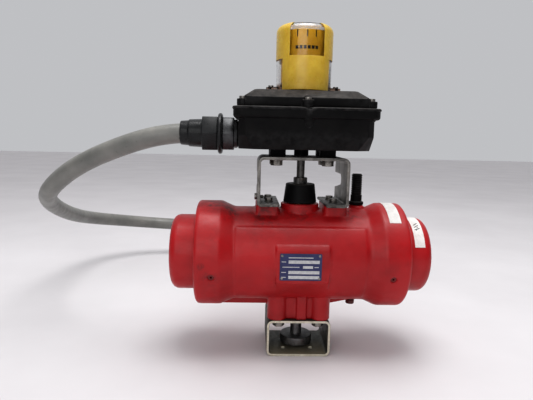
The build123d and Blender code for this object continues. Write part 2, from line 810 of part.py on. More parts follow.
# ---------------------------------------------------------------- switch box
def box_outline(half_x, half_y, cut_x, cut_y):
    """A rectangle with its corners cut off, drawn on the sketch plane in use."""
    points = []
    for sx, sy in ((1, 1), (-1, 1), (-1, -1), (1, -1)):
        pair = [(sx * half_x, sy * (half_y - cut_y)), (sx * (half_x - cut_x), sy * half_y)]
        points += pair if sx * sy > 0 else pair[::-1]
    return points


screw_points = corner_points(LID_SCREW_X, LID_SCREW_Y) + [(0, LIP_Y - 5.5), (0, 5.5 - LIP_Y)]

with BuildPart() as switch_box_base:
    # Outside: loft from the narrow floor to the knee, straight walls, then the lip
    with BuildSketch(Plane.XY.offset(BOX_BOTTOM)):
        Polygon(*box_outline(BOX_X, BOX_Y - 8, 18, 18), align=None)
    with BuildSketch(Plane.XY.offset(BOX_KNEE)):
        Polygon(*box_outline(BOX_X, BOX_Y, 8, 8), align=None)
    loft(ruled=True)
    with BuildSketch(Plane.XY.offset(BOX_KNEE)):
        Polygon(*box_outline(BOX_X, BOX_Y, 8, 8), align=None)
    extrude(amount=LIP_TOP - BOX_KNEE)
    with BuildSketch(Plane.XY.offset(LIP_Z)):
        RectangleRounded(2 * LIP_X, 2 * LIP_Y, 12)
    extrude(amount=LIP_TOP - LIP_Z)
    lip_edges = switch_box_base.edges().filter_by_position(Axis.Z, LIP_Z, LIP_Z).sort_by(Axis.X)
    fillet(lip_edges[0], 3)
    # Inside
    with BuildSketch(Plane.XY.offset(BOX_BOTTOM + BOX_WALL)):
        Polygon(*box_outline(BOX_X - BOX_WALL, BOX_Y - 8 - BOX_WALL, 16, 16), align=None)
    extrude(amount=BOX_KNEE - BOX_BOTTOM, mode=Mode.SUBTRACT)
    with BuildSketch(Plane.XY.offset(BOX_KNEE)):
        RectangleRounded(2 * (BOX_X - BOX_WALL - 1), 2 * (BOX_Y - BOX_WALL - 1), 8)
    extrude(amount=LIP_TOP - BOX_KNEE, mode=Mode.SUBTRACT)
    # Feet, spindle hub and corner posts for the lid's screws
    with BuildSketch(Plane.XY.offset(BRACKET_TOP)):
        with across(BOX_BOLT_X - 1, BOX_BOLT_Y):
            RectangleRounded(19, 19, 3)
        Circle(9)
    extrude(amount=BOX_BOTTOM - BRACKET_TOP + 1)
    with BuildSketch(Plane.XY.offset(BOX_BOTTOM)):
        with across(BOX_BOLT_X, BOX_BOLT_Y):
            Circle(7)
        Circle(9)
    extrude(amount=8)
    with BuildSketch(Plane.XY.offset(BRACKET_TOP)):
        with across(BOX_BOLT_X, BOX_BOLT_Y):
            Circle(4.1)
    extrude(amount=11, mode=Mode.SUBTRACT)
    with BuildSketch(Plane.XY.offset(BRACKET_TOP - 1)):
        Circle(SPINDLE_R + BUSH_GAP)
    extrude(amount=30, mode=Mode.SUBTRACT)
    with BuildSketch(Plane.XY.offset(LIP_TOP)):
        with Locations(*screw_points):
            Circle(5.5)
    extrude(amount=-14)
    with BuildSketch(Plane.XY.offset(LIP_TOP)):
        with Locations(*screw_points):
            Circle(2.1)
    extrude(amount=-11, mode=Mode.SUBTRACT)
    # Cable entry in the left wall
    with BuildSketch(Plane.YZ.offset(-BOX_X - 2)):
        with Locations((0, ENTRY_Z)):
            Circle(16)
    extrude(amount=6)
    with BuildSketch(Plane.YZ.offset(-BOX_X - 3)):
        with Locations((0, ENTRY_Z)):
            Circle(ENTRY_R)
    extrude(amount=12, mode=Mode.SUBTRACT)
save(switch_box_base, "switch_box_base")

with BuildPart() as lid_gasket:
    with BuildSketch(Plane.XY.offset(LIP_TOP)):
        RectangleRounded(2 * LID_X - 0.6, 2 * LID_Y - 0.6, 7)
        RectangleRounded(2 * LID_X - 6, 2 * LID_Y - 5, 5, mode=Mode.SUBTRACT)
        with Locations(*screw_points):
            Circle(4.6)
            Circle(2.2, mode=Mode.SUBTRACT)
    extrude(amount=0.8)
save(lid_gasket, "lid_gasket")

LID_Z = LIP_TOP + 0.8
with BuildPart() as switch_box_lid:
    with BuildSketch(Plane.XY.offset(LID_Z)):
        Polygon(*box_outline(LID_X, LID_Y, 7, 7), align=None)
    extrude(amount=LID_WALL_TOP - LID_Z)
    with BuildSketch(Plane.XY.offset(LID_WALL_TOP)):
        Polygon(*box_outline(LID_X - 4, LID_Y - 2, 7, 7), align=None)
    with BuildSketch(Plane.XY.offset(LID_TOP)):
        Polygon(*box_outline(LID_FLAT_X, LID_FLAT_Y, 5, 5), align=None)
    loft(ruled=True)
    with BuildSketch(Plane.XY.offset(LID_Z)):
        with Locations(*screw_points):
            Circle(6.5)
    extrude(amount=7.4)
    with BuildSketch(Plane.XY.offset(LID_Z)):
        Polygon(*box_outline(LID_X - 8, LID_Y - 9, 9, 9), align=None)
    with BuildSketch(Plane.XY.offset(LID_TOP - BOX_WALL)):
        Polygon(*box_outline(LID_FLAT_X - 4, LID_FLAT_Y - 5, 6, 6), align=None)
    loft(ruled=True, mode=Mode.SUBTRACT)
    with BuildSketch(Plane.XY.offset(LID_TOP)):
        Circle(9)
    extrude(amount=-20, mode=Mode.SUBTRACT)
    with BuildSketch(Plane.XY.offset(LID_Z)):
        with Locations(*screw_points):
            Circle(2.2)
        with GridLocations(80, 0, 2, 1):
            Circle(1.7)
    extrude(amount=30, mode=Mode.SUBTRACT)
    with BuildSketch(Plane.XY.offset(LID_Z + 7.4)):
        with Locations(*screw_points):
            Circle(4.8)
    extrude(amount=20, mode=Mode.SUBTRACT)
save(switch_box_lid, "switch_box_lid")

with BuildPart() as lid_screws:
    screw_seat = LID_Z + 7.4
    with BuildSketch(Plane.XY.offset(screw_seat)):
        with Locations(*screw_points):
            Circle(3.9)
    extrude(amount=3)
    with BuildSketch(Plane.XY.offset(screw_seat)):
        with Locations(*screw_points):
            Circle(2)
    extrude(amount=-17)
    with BuildSketch(Plane.XY.offset(screw_seat + 3)):
        with Locations(*screw_points):
            Rectangle(0.9, 7)
            Rectangle(7, 0.9)
    extrude(amount=-1.2, mode=Mode.SUBTRACT)
save(lid_screws, "lid_screws")

# ---------------------------------------------------------------- inside the switch box
with BuildPart() as switch_spindle:
    with BuildSketch(Plane.XY.offset(SHAFT_TOP)):
        Circle(SPINDLE_R)
    extrude(amount=DRUM_TOP - 30 - SHAFT_TOP)
    with BuildSketch(Plane.XY.offset(SHAFT_TOP)):
        Rectangle(SLOT_W - 0.2, 15)
    extrude(amount=-SLOT_DEPTH + 0.6)
save(switch_spindle, "switch_spindle")

for label, base, lobe_angle in (("closed_cam", 267.0, 90), ("open_cam", 281.0, 0)):
    with BuildPart() as cam:
        with BuildSketch(Plane.XY.offset(base)):
            Circle(13)
            with PolarLocations(11, 1, start_angle=lobe_angle):
                Rectangle(16, 10)
            Circle(SPINDLE_R + 0.02, mode=Mode.SUBTRACT)
        extrude(amount=9)
    save(cam, label)

for label, base in (("closed_sensor", 265.5), ("open_sensor", 280.0)):
    with BuildPart() as sensor:
        with BuildSketch(Plane.XY.offset(base)):
            with Locations((0, 30.5)):
                Rectangle(26, 18)
        extrude(amount=11)
        fillet(sensor.edges().filter_by(Axis.Z), 1.5)
    save(sensor, label)

with BuildPart() as sensor_bracket:
    with BuildSketch(Plane.YZ.offset(-16)):
        with BuildLine():
            Polyline((24, 260), (41.5, 260), (41.5, 292), (39.6, 292), (39.6, 262), (24, 262), close=True)
        make_face()
    extrude(amount=32)
save(sensor_bracket, "sensor_bracket")

with BuildPart() as terminal_strip:
    with BuildSketch(Plane.XY.offset(BOX_BOTTOM + BOX_WALL)):
        with Locations((56, 0)):
            Rectangle(15, 62)
    extrude(amount=14)
    with BuildSketch(Plane.XY.offset(BOX_BOTTOM + BOX_WALL + 14)):
        with Locations((56, 0)):
            with GridLocations(0, 9, 1, 6):
                Circle(3)
    extrude(amount=-5, mode=Mode.SUBTRACT)
save(terminal_strip, "terminal_strip")

# ---------------------------------------------------------------- domed position indicator
with BuildPart() as dome_hollow:
    with BuildSketch(Plane.XY.offset(LID_TOP)):
        Circle(DOME_R - DOME_WALL)
    extrude(amount=DOME_TOP - LID_TOP - DOME_WALL)
    fillet(ring_edges(dome_hollow, Axis.Z, DOME_R - DOME_WALL)[-1], 7)

with BuildPart() as indicator_dome:
    with BuildSketch(Plane.XY.offset(LID_TOP)):
        SlotOverall(2 * DOME_BASE_X, 22)
    extrude(amount=DOME_BASE_H)
    with BuildSketch(Plane.XY.offset(LID_TOP)):
        Circle(DOME_R)
    extrude(amount=DOME_TOP - LID_TOP)
    fillet(ring_edges(indicator_dome, Axis.Z, DOME_R)[-1], DOME_ROUND)
    add(dome_hollow.part, mode=Mode.SUBTRACT)
    with BuildSketch(Plane.XY.offset(LID_TOP)):
        with GridLocations(80, 0, 2, 1):
            Circle(1.7)
    extrude(amount=10, mode=Mode.SUBTRACT)
save(indicator_dome, "indicator_dome")

with BuildPart() as dome_screws:
    with BuildSketch(Plane.XY.offset(LID_TOP + DOME_BASE_H)):
        with GridLocations(80, 0, 2, 1):
            Circle(3.2)
    extrude(amount=2.4)
    with BuildSketch(Plane.XY.offset(LID_TOP + DOME_BASE_H)):
        with GridLocations(80, 0, 2, 1):
            Circle(1.6)
    extrude(amount=-9)
    with BuildSketch(Plane.XY.offset(LID_TOP + DOME_BASE_H + 2.4)):
        with GridLocations(80, 0, 2, 1):
            Rectangle(0.8, 8)
    extrude(amount=-1, mode=Mode.SUBTRACT)
save(dome_screws, "dome_screws")


def side_wedge(half_angle, z_low, z_high):
    """Front and back wedges about the shaft axis, half_angle in degrees either side."""
    reach = 2 * MASK_R
    angle = math.radians(half_angle)
    with BuildPart() as piece:
        with BuildSketch(Plane.XY.offset(z_low)):
            for front in (-1, 1):
                with BuildLine():
                    Polyline(
                        (0, 0),
                        (reach * math.sin(angle), front * reach * math.cos(angle)),
                        (-reach * math.sin(angle), front * reach * math.cos(angle)),
                        close=True,
                    )
                make_face()
        extrude(amount=z_high - z_low)
    return piece.part


windows = side_wedge(WINDOW_HALF, WINDOW_Z, MASK_TOP + 1)
panels = side_wedge(PANEL_HALF, LID_TOP + 1.4, MASK_RING_Z + 1)
with BuildPart() as dome_envelope:
    with BuildSketch(Plane.XY.offset(LID_TOP)):
        Circle(DOME_R + 0.02)
    extrude(amount=DOME_TOP + 0.02 - LID_TOP)
    fillet(ring_edges(dome_envelope, Axis.Z, DOME_R + 0.02)[-1], DOME_ROUND)
with BuildPart() as indicator_mask:
    add(panels)
    with BuildSketch(Plane.XY.offset(MASK_RING_Z)):
        Circle(MASK_R)
    extrude(amount=MASK_TOP - MASK_RING_Z)
    with BuildSketch(Plane.XY.offset(LID_TOP)):
        Circle(MASK_R)
    extrude(amount=MASK_TOP - LID_TOP, mode=Mode.INTERSECT)
    fillet(ring_edges(indicator_mask, Axis.Z, MASK_R)[-1], DOME_ROUND + 0.78)
    add(dome_envelope.part, mode=Mode.SUBTRACT)
    with BuildSketch(Plane.XY.offset(MASK_TOP - 3)):
        Circle(DOME_R - DOME_ROUND)
    extrude(amount=5, mode=Mode.SUBTRACT)
    add(windows, mode=Mode.SUBTRACT)
save(indicator_mask, "indicator_mask")

with BuildPart() as indicator_drum:
    with BuildSketch(Plane.XY.offset(DRUM_Z)):
        Circle(DRUM_R)
    extrude(amount=DRUM_TOP - DRUM_Z)
    with BuildSketch(Plane.XY.offset(DRUM_Z)):
        Circle(DRUM_R - 2)
        Circle(SPINDLE_R + 3, mode=Mode.SUBTRACT)
    extrude(amount=DRUM_TOP - 2 - DRUM_Z, mode=Mode.SUBTRACT)
    with BuildSketch(Plane.XY.offset(DRUM_Z)):
        Circle(SPINDLE_R + 0.02)
    extrude(amount=DRUM_TOP - 25 - DRUM_Z, mode=Mode.SUBTRACT)
save(indicator_drum, "indicator_drum")


# ---------------------------------------------------------------- cable gland on the left wall
def turned(plane, axis, outline):
    """A turned piece: the outline is along the axis and out from it."""
    with BuildPart() as piece:
        with BuildSketch(plane):
            with BuildLine():
                Polyline(*outline, close=True)
            make_face()
        revolve(axis=axis)
    return piece


gland_body = turned(
    ENTRY_PLANE,
    ENTRY_AXIS,
    [
        (-68, 9.5),
        (-68, ENTRY_R - 0.1),
        (-80, ENTRY_R - 0.1),
        (-80, 17.5),
        (-97.5, 17.5),
        (-98.5, 22),
        (-104, 22),
        (-104, 15),
        (-118, 15),
        (-118, 13.6),
        (CONDUIT_START_X + 0.1, 13.6),
        (CONDUIT_START_X + 0.1, 9.5),
    ],
)
with BuildPart() as neck_hexagon:
    with BuildSketch(Plane.YZ.offset(-97.6)):
        with Locations((0, ENTRY_Z)):
            RegularPolygon(NECK_HALF, 6, major_radius=False)
            Circle(NECK_HALF + 2.2, mode=Mode.INTERSECT)
            Circle(17, mode=Mode.SUBTRACT)
    extrude(amount=13.2)
with BuildPart() as gland_body_piece:
    add(gland_body.part)
    add(neck_hexagon.part)
save(gland_body_piece, "gland_body")

with BuildPart() as gland_ring:
    with BuildSketch(ENTRY_PLANE):
        with BuildLine():
            Polyline(
                (-98.6, 22.1),
                (-98.6, 23.4),
                (-100, RING_R),
                (-102.4, RING_R),
                (-103.9, 23.4),
                (-103.9, 22.1),
                close=True,
            )
        make_face()
    revolve(axis=ENTRY_AXIS)
save(gland_ring, "gland_ring")

with BuildPart() as gland_locknut:
    with BuildSketch(Plane.YZ.offset(-BOX_X + BOX_WALL + 1.2)):
        with Locations((0, ENTRY_Z)):
            RegularPolygon(13.3, 6, major_radius=False)
            Circle(ENTRY_R, mode=Mode.SUBTRACT)
    extrude(amount=4)
save(gland_locknut, "gland_locknut")


NUT_HALF = 20.2
NUT_LONG = 18.8
SLEEVE_STEP = 35.5
SLEEVE_END = 46.0
# start, end, radius at the start, radius at the end of each tier of the sleeve
NUT_SLEEVES = [
    (NUT_LONG, SLEEVE_STEP, 17.4, 16.6),
    (SLEEVE_STEP, SLEEVE_END, 15.5, 14.6),
]


def gland_nut(plane):
    """Hexagon and tapered sleeve round the conduit, drawn along the plane's normal."""
    with BuildPart() as piece:
        with BuildSketch(plane):
            RegularPolygon(NUT_HALF, 6, major_radius=False)
        extrude(amount=NUT_LONG)
        for start, end, near_r, far_r in NUT_SLEEVES:
            with BuildSketch(plane.offset(start)):
                Circle(near_r)
            with BuildSketch(plane.offset(end)):
                Circle(far_r)
            loft()
        with BuildSketch(plane):
            Circle(15.3)
        extrude(amount=15, mode=Mode.SUBTRACT)
        with BuildSketch(plane):
            Circle(13.9)
        extrude(amount=25, mode=Mode.SUBTRACT)
        with BuildSketch(plane):
            Circle(CONDUIT_R + 0.3)
        extrude(amount=60, mode=Mode.SUBTRACT)
    return piece


save(gland_nut(Plane((-104.1, 0, ENTRY_Z), x_dir=(0, 1, 0), z_dir=(-1, 0, 0))), "gland_nut")

# ---------------------------------------------------------------- conduit and its far connector
route = [Vector(*point) for point in CONDUIT_ROUTE]
runs = [after - before for before, after in zip(route, route[1:])]
arc_radii = []
for run, following in zip(runs, runs[1:]):
    half_turn = math.radians(run.get_angle(following)) / 2
    arc_radii.append(ARC_SHARE * min(run.length, following.length) / math.tan(half_turn))
print("conduit arc radii", [round(radius) for radius in arc_radii])

with BuildPart() as conduit:
    with BuildLine() as middle_line:
        FilletPolyline(*route, radius=arc_radii)
    with BuildSketch(Plane(route[0], x_dir=(0, 1, 0), z_dir=(-1, 0, 0))):
        Circle(CONDUIT_R)
        Circle(CONDUIT_BORE_R, mode=Mode.SUBTRACT)
    sweep()
tube_section = math.pi * (CONDUIT_R**2 - CONDUIT_BORE_R**2)
tube_length = sum(edge.length for edge in middle_line.edges())
print("conduit length", round(tube_length, 1))
print("conduit volume over section times length", round(conduit.part.volume / tube_section / tube_length, 4))
save(conduit, "conduit")

far_way = runs[-1].normalized()
far_plane = Plane(route[-1], x_dir=(0, 0, 1), z_dir=far_way)
save(gland_nut(Plane(route[-1] + far_way * 24, x_dir=(0, 0, 1), z_dir=far_way * -1)), "connector_nut")

with BuildPart() as connector_body:
    with BuildSketch(far_plane.offset(0.05)):
        Circle(13.6)
    extrude(amount=24)
    with BuildSketch(far_plane.offset(24)):
        Circle(22)
    extrude(amount=6)
    with BuildSketch(far_plane.offset(30)):
        RegularPolygon(19, 8, major_radius=False)
    extrude(amount=10)
    with BuildSketch(far_plane.offset(40)):
        Circle(12.9)
    extrude(amount=15)
    with BuildSketch(far_plane.offset(-1)):
        Circle(9.5)
    extrude(amount=60, mode=Mode.SUBTRACT)
save(connector_body, "connector_body")

with BuildPart() as connector_ring:
    with BuildSketch(far_plane.offset(24.5)):
        Circle(RING_R)
        Circle(22.1, mode=Mode.SUBTRACT)
    extrude(amount=5)
    chamfer(ring_edges(connector_ring, Axis.X, RING_R), 1)
save(connector_ring, "connector_ring")
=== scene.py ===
"""The looks of a pneumatic valve actuator with its switch box, indicator and conduit.

Metres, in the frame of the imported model: the origin is on the shaft axis at the underside of the
mounting tube, +X along the cylinder, +Y to the back, +Z up.
"""

import math

import bmesh
import bpy
from mathutils import Matrix, Vector


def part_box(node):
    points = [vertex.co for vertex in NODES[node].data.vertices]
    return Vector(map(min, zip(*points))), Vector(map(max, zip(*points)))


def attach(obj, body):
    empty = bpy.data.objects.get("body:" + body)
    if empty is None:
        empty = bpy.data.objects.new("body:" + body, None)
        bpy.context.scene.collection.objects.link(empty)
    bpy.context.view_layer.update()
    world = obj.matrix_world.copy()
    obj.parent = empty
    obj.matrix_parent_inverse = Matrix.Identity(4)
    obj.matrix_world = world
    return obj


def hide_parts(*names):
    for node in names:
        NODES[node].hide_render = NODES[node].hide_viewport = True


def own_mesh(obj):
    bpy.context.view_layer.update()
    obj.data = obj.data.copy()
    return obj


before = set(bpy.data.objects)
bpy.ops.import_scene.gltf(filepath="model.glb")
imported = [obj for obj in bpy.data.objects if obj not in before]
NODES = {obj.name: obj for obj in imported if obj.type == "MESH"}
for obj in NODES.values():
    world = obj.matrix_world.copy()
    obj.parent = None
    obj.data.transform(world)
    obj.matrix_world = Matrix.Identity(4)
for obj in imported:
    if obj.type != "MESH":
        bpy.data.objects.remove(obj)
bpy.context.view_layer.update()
MM = 0.001

# Heights and sizes that the pieces below share, in metres
AXIS_Z = 0.124
ENTRY_Z = 0.2735
CONDUIT_RADIUS = 0.01225

# The viewpoint: where the camera stands, its turn, its dip and its roll in degrees, its lens in mm
CAMERA_PLACE = (-0.06364, -0.59735, 0.27108)
CAMERA_YAW, CAMERA_DIP, CAMERA_ROLL = -2.051, 7.605, 1.283
CAMERA_LENS, CAMERA_SENSOR = 32.1, 36.0


# ---------------------------------------------------------------- camera
def make_camera():
    """A little left of the shaft, looking slightly down."""
    data = bpy.data.cameras.new("camera")
    data.sensor_width = CAMERA_SENSOR
    data.lens = CAMERA_LENS
    data.clip_start = 0.01
    data.clip_end = 50
    camera = bpy.data.objects.new("camera", data)
    yaw = Matrix.Rotation(math.radians(CAMERA_YAW), 4, "Z")
    tilt = Matrix.Rotation(math.radians(90 - CAMERA_DIP), 4, "X")
    roll = Matrix.Rotation(math.radians(CAMERA_ROLL), 4, "Z")
    camera.matrix_world = Matrix.Translation(CAMERA_PLACE) @ yaw @ tilt @ roll
    bpy.context.scene.collection.objects.link(camera)
    bpy.context.scene.camera = camera


make_camera()

# ---------------------------------------------------------------- conduit, along its CAD route
CONDUIT_ROUTE = [
    (-0.128, 0, ENTRY_Z),
    (-0.161, 0, ENTRY_Z),
    (-0.214, 0.001, 0.260),
    (-0.286, 0.019, 0.230),
    (-0.345, 0.063, 0.189),
    (-0.374, 0.148, 0.159),
    (-0.383, 0.258, 0.124),
    (-0.379, 0.361, 0.100),
    (-0.335, 0.437, 0.082),
    (-0.258, 0.474, 0.070),
    (-0.170, 0.466, 0.068),
    (-0.080, 0.435, 0.058),
    (0.005, 0.398, 0.040),
    (0.085, 0.362, 0.025),
    (0.150, 0.345, 0.025),
]


def make_conduit():
    data = bpy.data.curves.new("conduit_jacket", "CURVE")
    data.dimensions = "3D"
    line = data.splines.new("NURBS")
    line.points.add(len(CONDUIT_ROUTE) - 1)
    for point, place in zip(line.points, CONDUIT_ROUTE):
        point.co = (*place, 1)
        point.radius = CONDUIT_RADIUS
    line.order_u = 3
    line.use_endpoint_u = True
    line.resolution_u = 16
    data.bevel_depth = 1
    data.bevel_resolution = 8
    data.use_fill_caps = True
    jacket = bpy.data.objects.new("conduit_jacket", data)
    bpy.context.scene.collection.objects.link(jacket)
    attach(jacket, "housing")
    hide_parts("conduit")
    return jacket


conduit = make_conduit()


# ---------------------------------------------------------------- material building
class Finish:
    """A material built from procedural nodes, measured in the object's own metres."""

    def __init__(self, name, **sockets):
        self.material = bpy.data.materials.new(name)
        self.material.use_nodes = True
        self.tree = self.material.node_tree
        self.shader = self.tree.nodes["Principled BSDF"]
        self.place = self.tree.nodes.new("ShaderNodeTexCoord").outputs["Object"]
        for socket, value in sockets.items():
            self.put(self.shader.inputs[socket.replace("_", " ")], value)

    def put(self, socket, value):
        if isinstance(value, bpy.types.NodeSocket):
            self.tree.links.new(value, socket)
        else:
            socket.default_value = value

    def add(self, kind, inputs, **settings):
        node = self.tree.nodes.new("ShaderNode" + kind)
        for key, value in settings.items():
            setattr(node, key, value)
        for key, value in inputs.items():
            self.put(node.inputs[key], value)
        return node

    def noise(self, scale, detail=4.0, roughness=0.55, stretch=(1, 1, 1), offset=(0, 0, 0)):
        place = self.add("Mapping", {"Vector": self.place, "Scale": stretch, "Location": offset})
        inputs = {"Vector": place.outputs[0], "Scale": scale, "Detail": detail, "Roughness": roughness}
        return self.add("TexNoise", inputs).outputs["Fac"]

    def ramp(self, factor, *stops):
        node = self.add("ValToRGB", {"Fac": factor})
        points = node.color_ramp.elements
        while len(points) < len(stops):
            points.new(0.5)
        for point, (at, colour) in zip(points, stops):
            point.position = at
            point.color = colour if hasattr(colour, "__len__") else (colour, colour, colour, 1)
        return node.outputs["Color"]

    def mask(self, factor, low, high):
        """0 under low, 1 over high, a straight slope between."""
        inputs = {"Value": factor, "From Min": low, "From Max": high}
        return self.add("MapRange", inputs).outputs["Result"]

    def mix(self, factor, first, second):
        node = self.add("Mix", {}, data_type="RGBA")
        self.put(node.inputs[0], factor)
        self.put(node.inputs[6], first)
        self.put(node.inputs[7], second)
        return node.outputs[2]

    def sum(self, operation, first, second):
        node = self.add("Math", {}, operation=operation)
        self.put(node.inputs[0], first)
        self.put(node.inputs[1], second)
        return node.outputs[0]

    def upward(self):
        """1 where the surface faces straight up, 0 on walls."""
        normal = self.add("NewGeometry", {}).outputs["Normal"]
        return self.mask(self.add("SeparateXYZ", {"Vector": normal}).outputs["Z"], 0.15, 0.95)

    def spot(self, centre, radius):
        """1 at a place on the object, falling to 0 at the radius."""
        away = self.add("VectorMath", {0: self.place, 1: centre}, operation="DISTANCE").outputs["Value"]
        return self.mask(away, radius, radius * 0.3)

    def edges(self):
        """1 on sharp outer edges."""
        return self.mask(self.add("NewGeometry", {}).outputs["Pointiness"], 0.52, 0.6)

    def hollows(self, flat, deep):
        """1 in hollows, from the pointiness of flat ground to that of a deep crevice."""
        return self.mask(self.add("NewGeometry", {}).outputs["Pointiness"], flat, deep)

    def colour(self, value):
        self.put(self.shader.inputs["Base Color"], value)

    def roughness(self, value):
        self.put(self.shader.inputs["Roughness"], value)

    def bump(self, height, strength, distance, rounding=0.0):
        inputs = {"Height": height, "Strength": strength, "Distance": distance}
        if rounding:
            inputs["Normal"] = self.add("Bevel", {"Radius": rounding}, samples=6).outputs[0]
        self.put(self.shader.inputs["Normal"], self.add("Bump", inputs).outputs[0])


def rgb(red, green, blue):
    return (red, green, blue, 1)


# Dark places on the casting: soot and painted shade on its top under the switch box and round the bracket
# feet, real black marks on the left flange's lower front; centre, radius in metres and strength of the
# darkening
DARK_MARKS_AND_SHADE = [
    ((-0.106, -0.013, 0.188), 0.030, 0.8),
    ((-0.088, -0.024, 0.180), 0.024, 0.9),
    ((-0.109, -0.063, 0.1056), 0.013, 0.75),
    ((-0.1185, -0.065, 0.121), 0.006, 0.6),
    ((-0.045, -0.030, 0.180), 0.030, 0.7),
    ((0.060, -0.025, 0.183), 0.026, 0.6),
    ((0.0, -0.028, 0.183), 0.028, 0.5),
]


def red_enamel():
    """Gloss enamel over a casting: patchy, darkened in the hollows by soot and painted shade, darkened on
    top under the switch box by soot and painted shade, a little orange peel.
    """
    f = Finish("red_enamel", Specular_IOR_Level=0.35, Coat_Weight=0.12, Coat_Roughness=0.2)
    paint_tone = f.ramp(f.noise(14, 5), (0.35, rgb(0.34, 0.006, 0.009)), (0.68, rgb(0.47, 0.010, 0.014)))
    worn = f.sum("MULTIPLY", f.mask(f.noise(45, 6, offset=(3, 1, 2)), 0.54, 0.75), 0.6)
    faded = f.mix(worn, paint_tone, rgb(0.42, 0.020, 0.024))
    grime = f.sum("MULTIPLY", f.mask(f.noise(22, 8, 0.7, offset=(0.3, 2, 1)), 0.50, 0.72), 0.30)
    # Painted shade in the hollows of the casting, broken up by noise to read as soot.
    crevice = f.sum("MULTIPLY", f.hollows(0.497, 0.43), f.mask(f.noise(60, 5), 0.35, 0.65))
    dirt_and_shade = f.sum("MAXIMUM", grime, f.sum("MULTIPLY", crevice, 0.6))
    # Soot and painted shade under the switch box, real marks on the left flange
    for centre, radius, strength in DARK_MARKS_AND_SHADE:
        broken = f.mask(f.noise(110, 9, 0.75, offset=centre), 0.44, 0.60)
        patch = f.sum("MULTIPLY", f.spot(centre, radius), broken)
        dirt_and_shade = f.sum("MAXIMUM", dirt_and_shade, f.sum("MULTIPLY", patch, strength))
    # Grime, soot and painted shade darken the enamel here.
    f.colour(f.mix(dirt_and_shade, faded, rgb(0.07, 0.012, 0.012)))
    f.roughness(f.mask(f.noise(70, 5), -0.3, 1.5))
    peel = f.sum("ADD", f.noise(700, 3), f.sum("MULTIPLY", f.noise(170, 5), 0.8))
    f.bump(peel, 0.12, 0.0012)
    return f.material


def black_moulding():
    """Black moulded plastic: dusted and lighter on its upper faces, partly as painted light, with worn edges
    lightened partly as a painted highlight.
    """
    f = Finish("black_moulding", Specular_IOR_Level=0.14)
    base = f.ramp(f.noise(60, 6), (0.3, rgb(0.003, 0.003, 0.0034)), (0.7, rgb(0.007, 0.0066, 0.0066)))
    # Dusting on the upper faces, lighter still as painted light from overhead.
    dust_and_top_light = f.sum("MULTIPLY", f.upward(), f.mask(f.noise(90, 7, 0.7), 0.30, 0.75))
    lighter_top = f.mix(f.sum("MULTIPLY", dust_and_top_light, 0.65), base, rgb(0.13, 0.115, 0.105))
    # Lighter edges: wear, and a painted highlight along them.
    worn_and_highlit_edges = f.sum("MULTIPLY", f.edges(), f.mask(f.noise(140, 5), 0.35, 0.6))
    f.colour(f.mix(f.sum("MULTIPLY", worn_and_highlit_edges, 0.6), lighter_top, rgb(0.10, 0.10, 0.10)))
    f.roughness(f.mask(f.noise(50, 6), -0.6, 1.4))
    f.bump(f.noise(1500, 2), 0.12, 0.0004, rounding=0.0006)
    return f.material


def metal(name, dark, light, roughness=(0.3, 0.6), rust=0.0, metallic=0.9, scale=60, rounding=0.0004):
    """Bare or plated metal: mottled tone, fine scratches, optional brown tarnish."""
    f = Finish(name, Metallic=metallic)
    tone = f.ramp(f.noise(scale, 7, 0.65), (0.32, dark), (0.70, light))
    scratch = f.mask(f.noise(260, 3, 0.5, stretch=(1, 1, 12)), 0.62, 0.70)
    tone = f.mix(f.sum("MULTIPLY", scratch, 0.35), tone, light)
    if rust:
        stain = f.sum("MULTIPLY", f.mask(f.noise(scale * 1.7, 9, 0.75, offset=(5, 2, 7)), 0.52, 0.70), rust)
        tone = f.mix(stain, tone, rgb(0.10, 0.055, 0.03))
    f.colour(tone)
    low, high = roughness
    f.roughness(f.ramp(f.noise(scale * 2, 5), (0.3, low), (0.7, high)))
    f.bump(f.sum("ADD", f.noise(900, 3), scratch), 0.08, 0.0004, rounding=rounding)
    return f.material


def plastic(name, dark, light, roughness=0.4, scale=70, grain=0.08, **sockets):
    f = Finish(name, **sockets)
    f.colour(f.ramp(f.noise(scale, 6, 0.6), (0.3, dark), (0.72, light)))
    f.roughness(f.ramp(f.noise(scale * 1.5, 5), (0.3, max(0.05, roughness - 0.08)), (0.7, roughness + 0.1)))
    f.bump(f.noise(1100, 2), grain, 0.0003, rounding=0.0004)
    return f.material


def conduit_finish():
    """Smooth grey jacket with dark scuff marks, lighter on its upper side."""
    f = Finish("conduit_finish", Specular_IOR_Level=0.45)
    base = f.ramp(f.noise(35, 6), (0.3, rgb(0.15, 0.152, 0.142)), (0.7, rgb(0.225, 0.222, 0.205)))
    # Lighter on its upper side.
    lighter_top = f.sum("MULTIPLY", f.upward(), f.mask(f.noise(80, 7, 0.7), 0.35, 0.8))
    lighter_on_top = f.mix(f.sum("MULTIPLY", lighter_top, 0.5), base, rgb(0.36, 0.335, 0.30))
    marks = f.mask(f.noise(120, 8, 0.75, offset=(4, 4, 1)), 0.62, 0.70)
    f.colour(f.mix(f.sum("MULTIPLY", marks, 0.6), lighter_on_top, rgb(0.04, 0.04, 0.04)))
    f.roughness(f.ramp(f.noise(90, 5), (0.3, 0.30), (0.7, 0.5)))
    f.bump(f.noise(500, 3), 0.06, 0.0005)
    return f.material


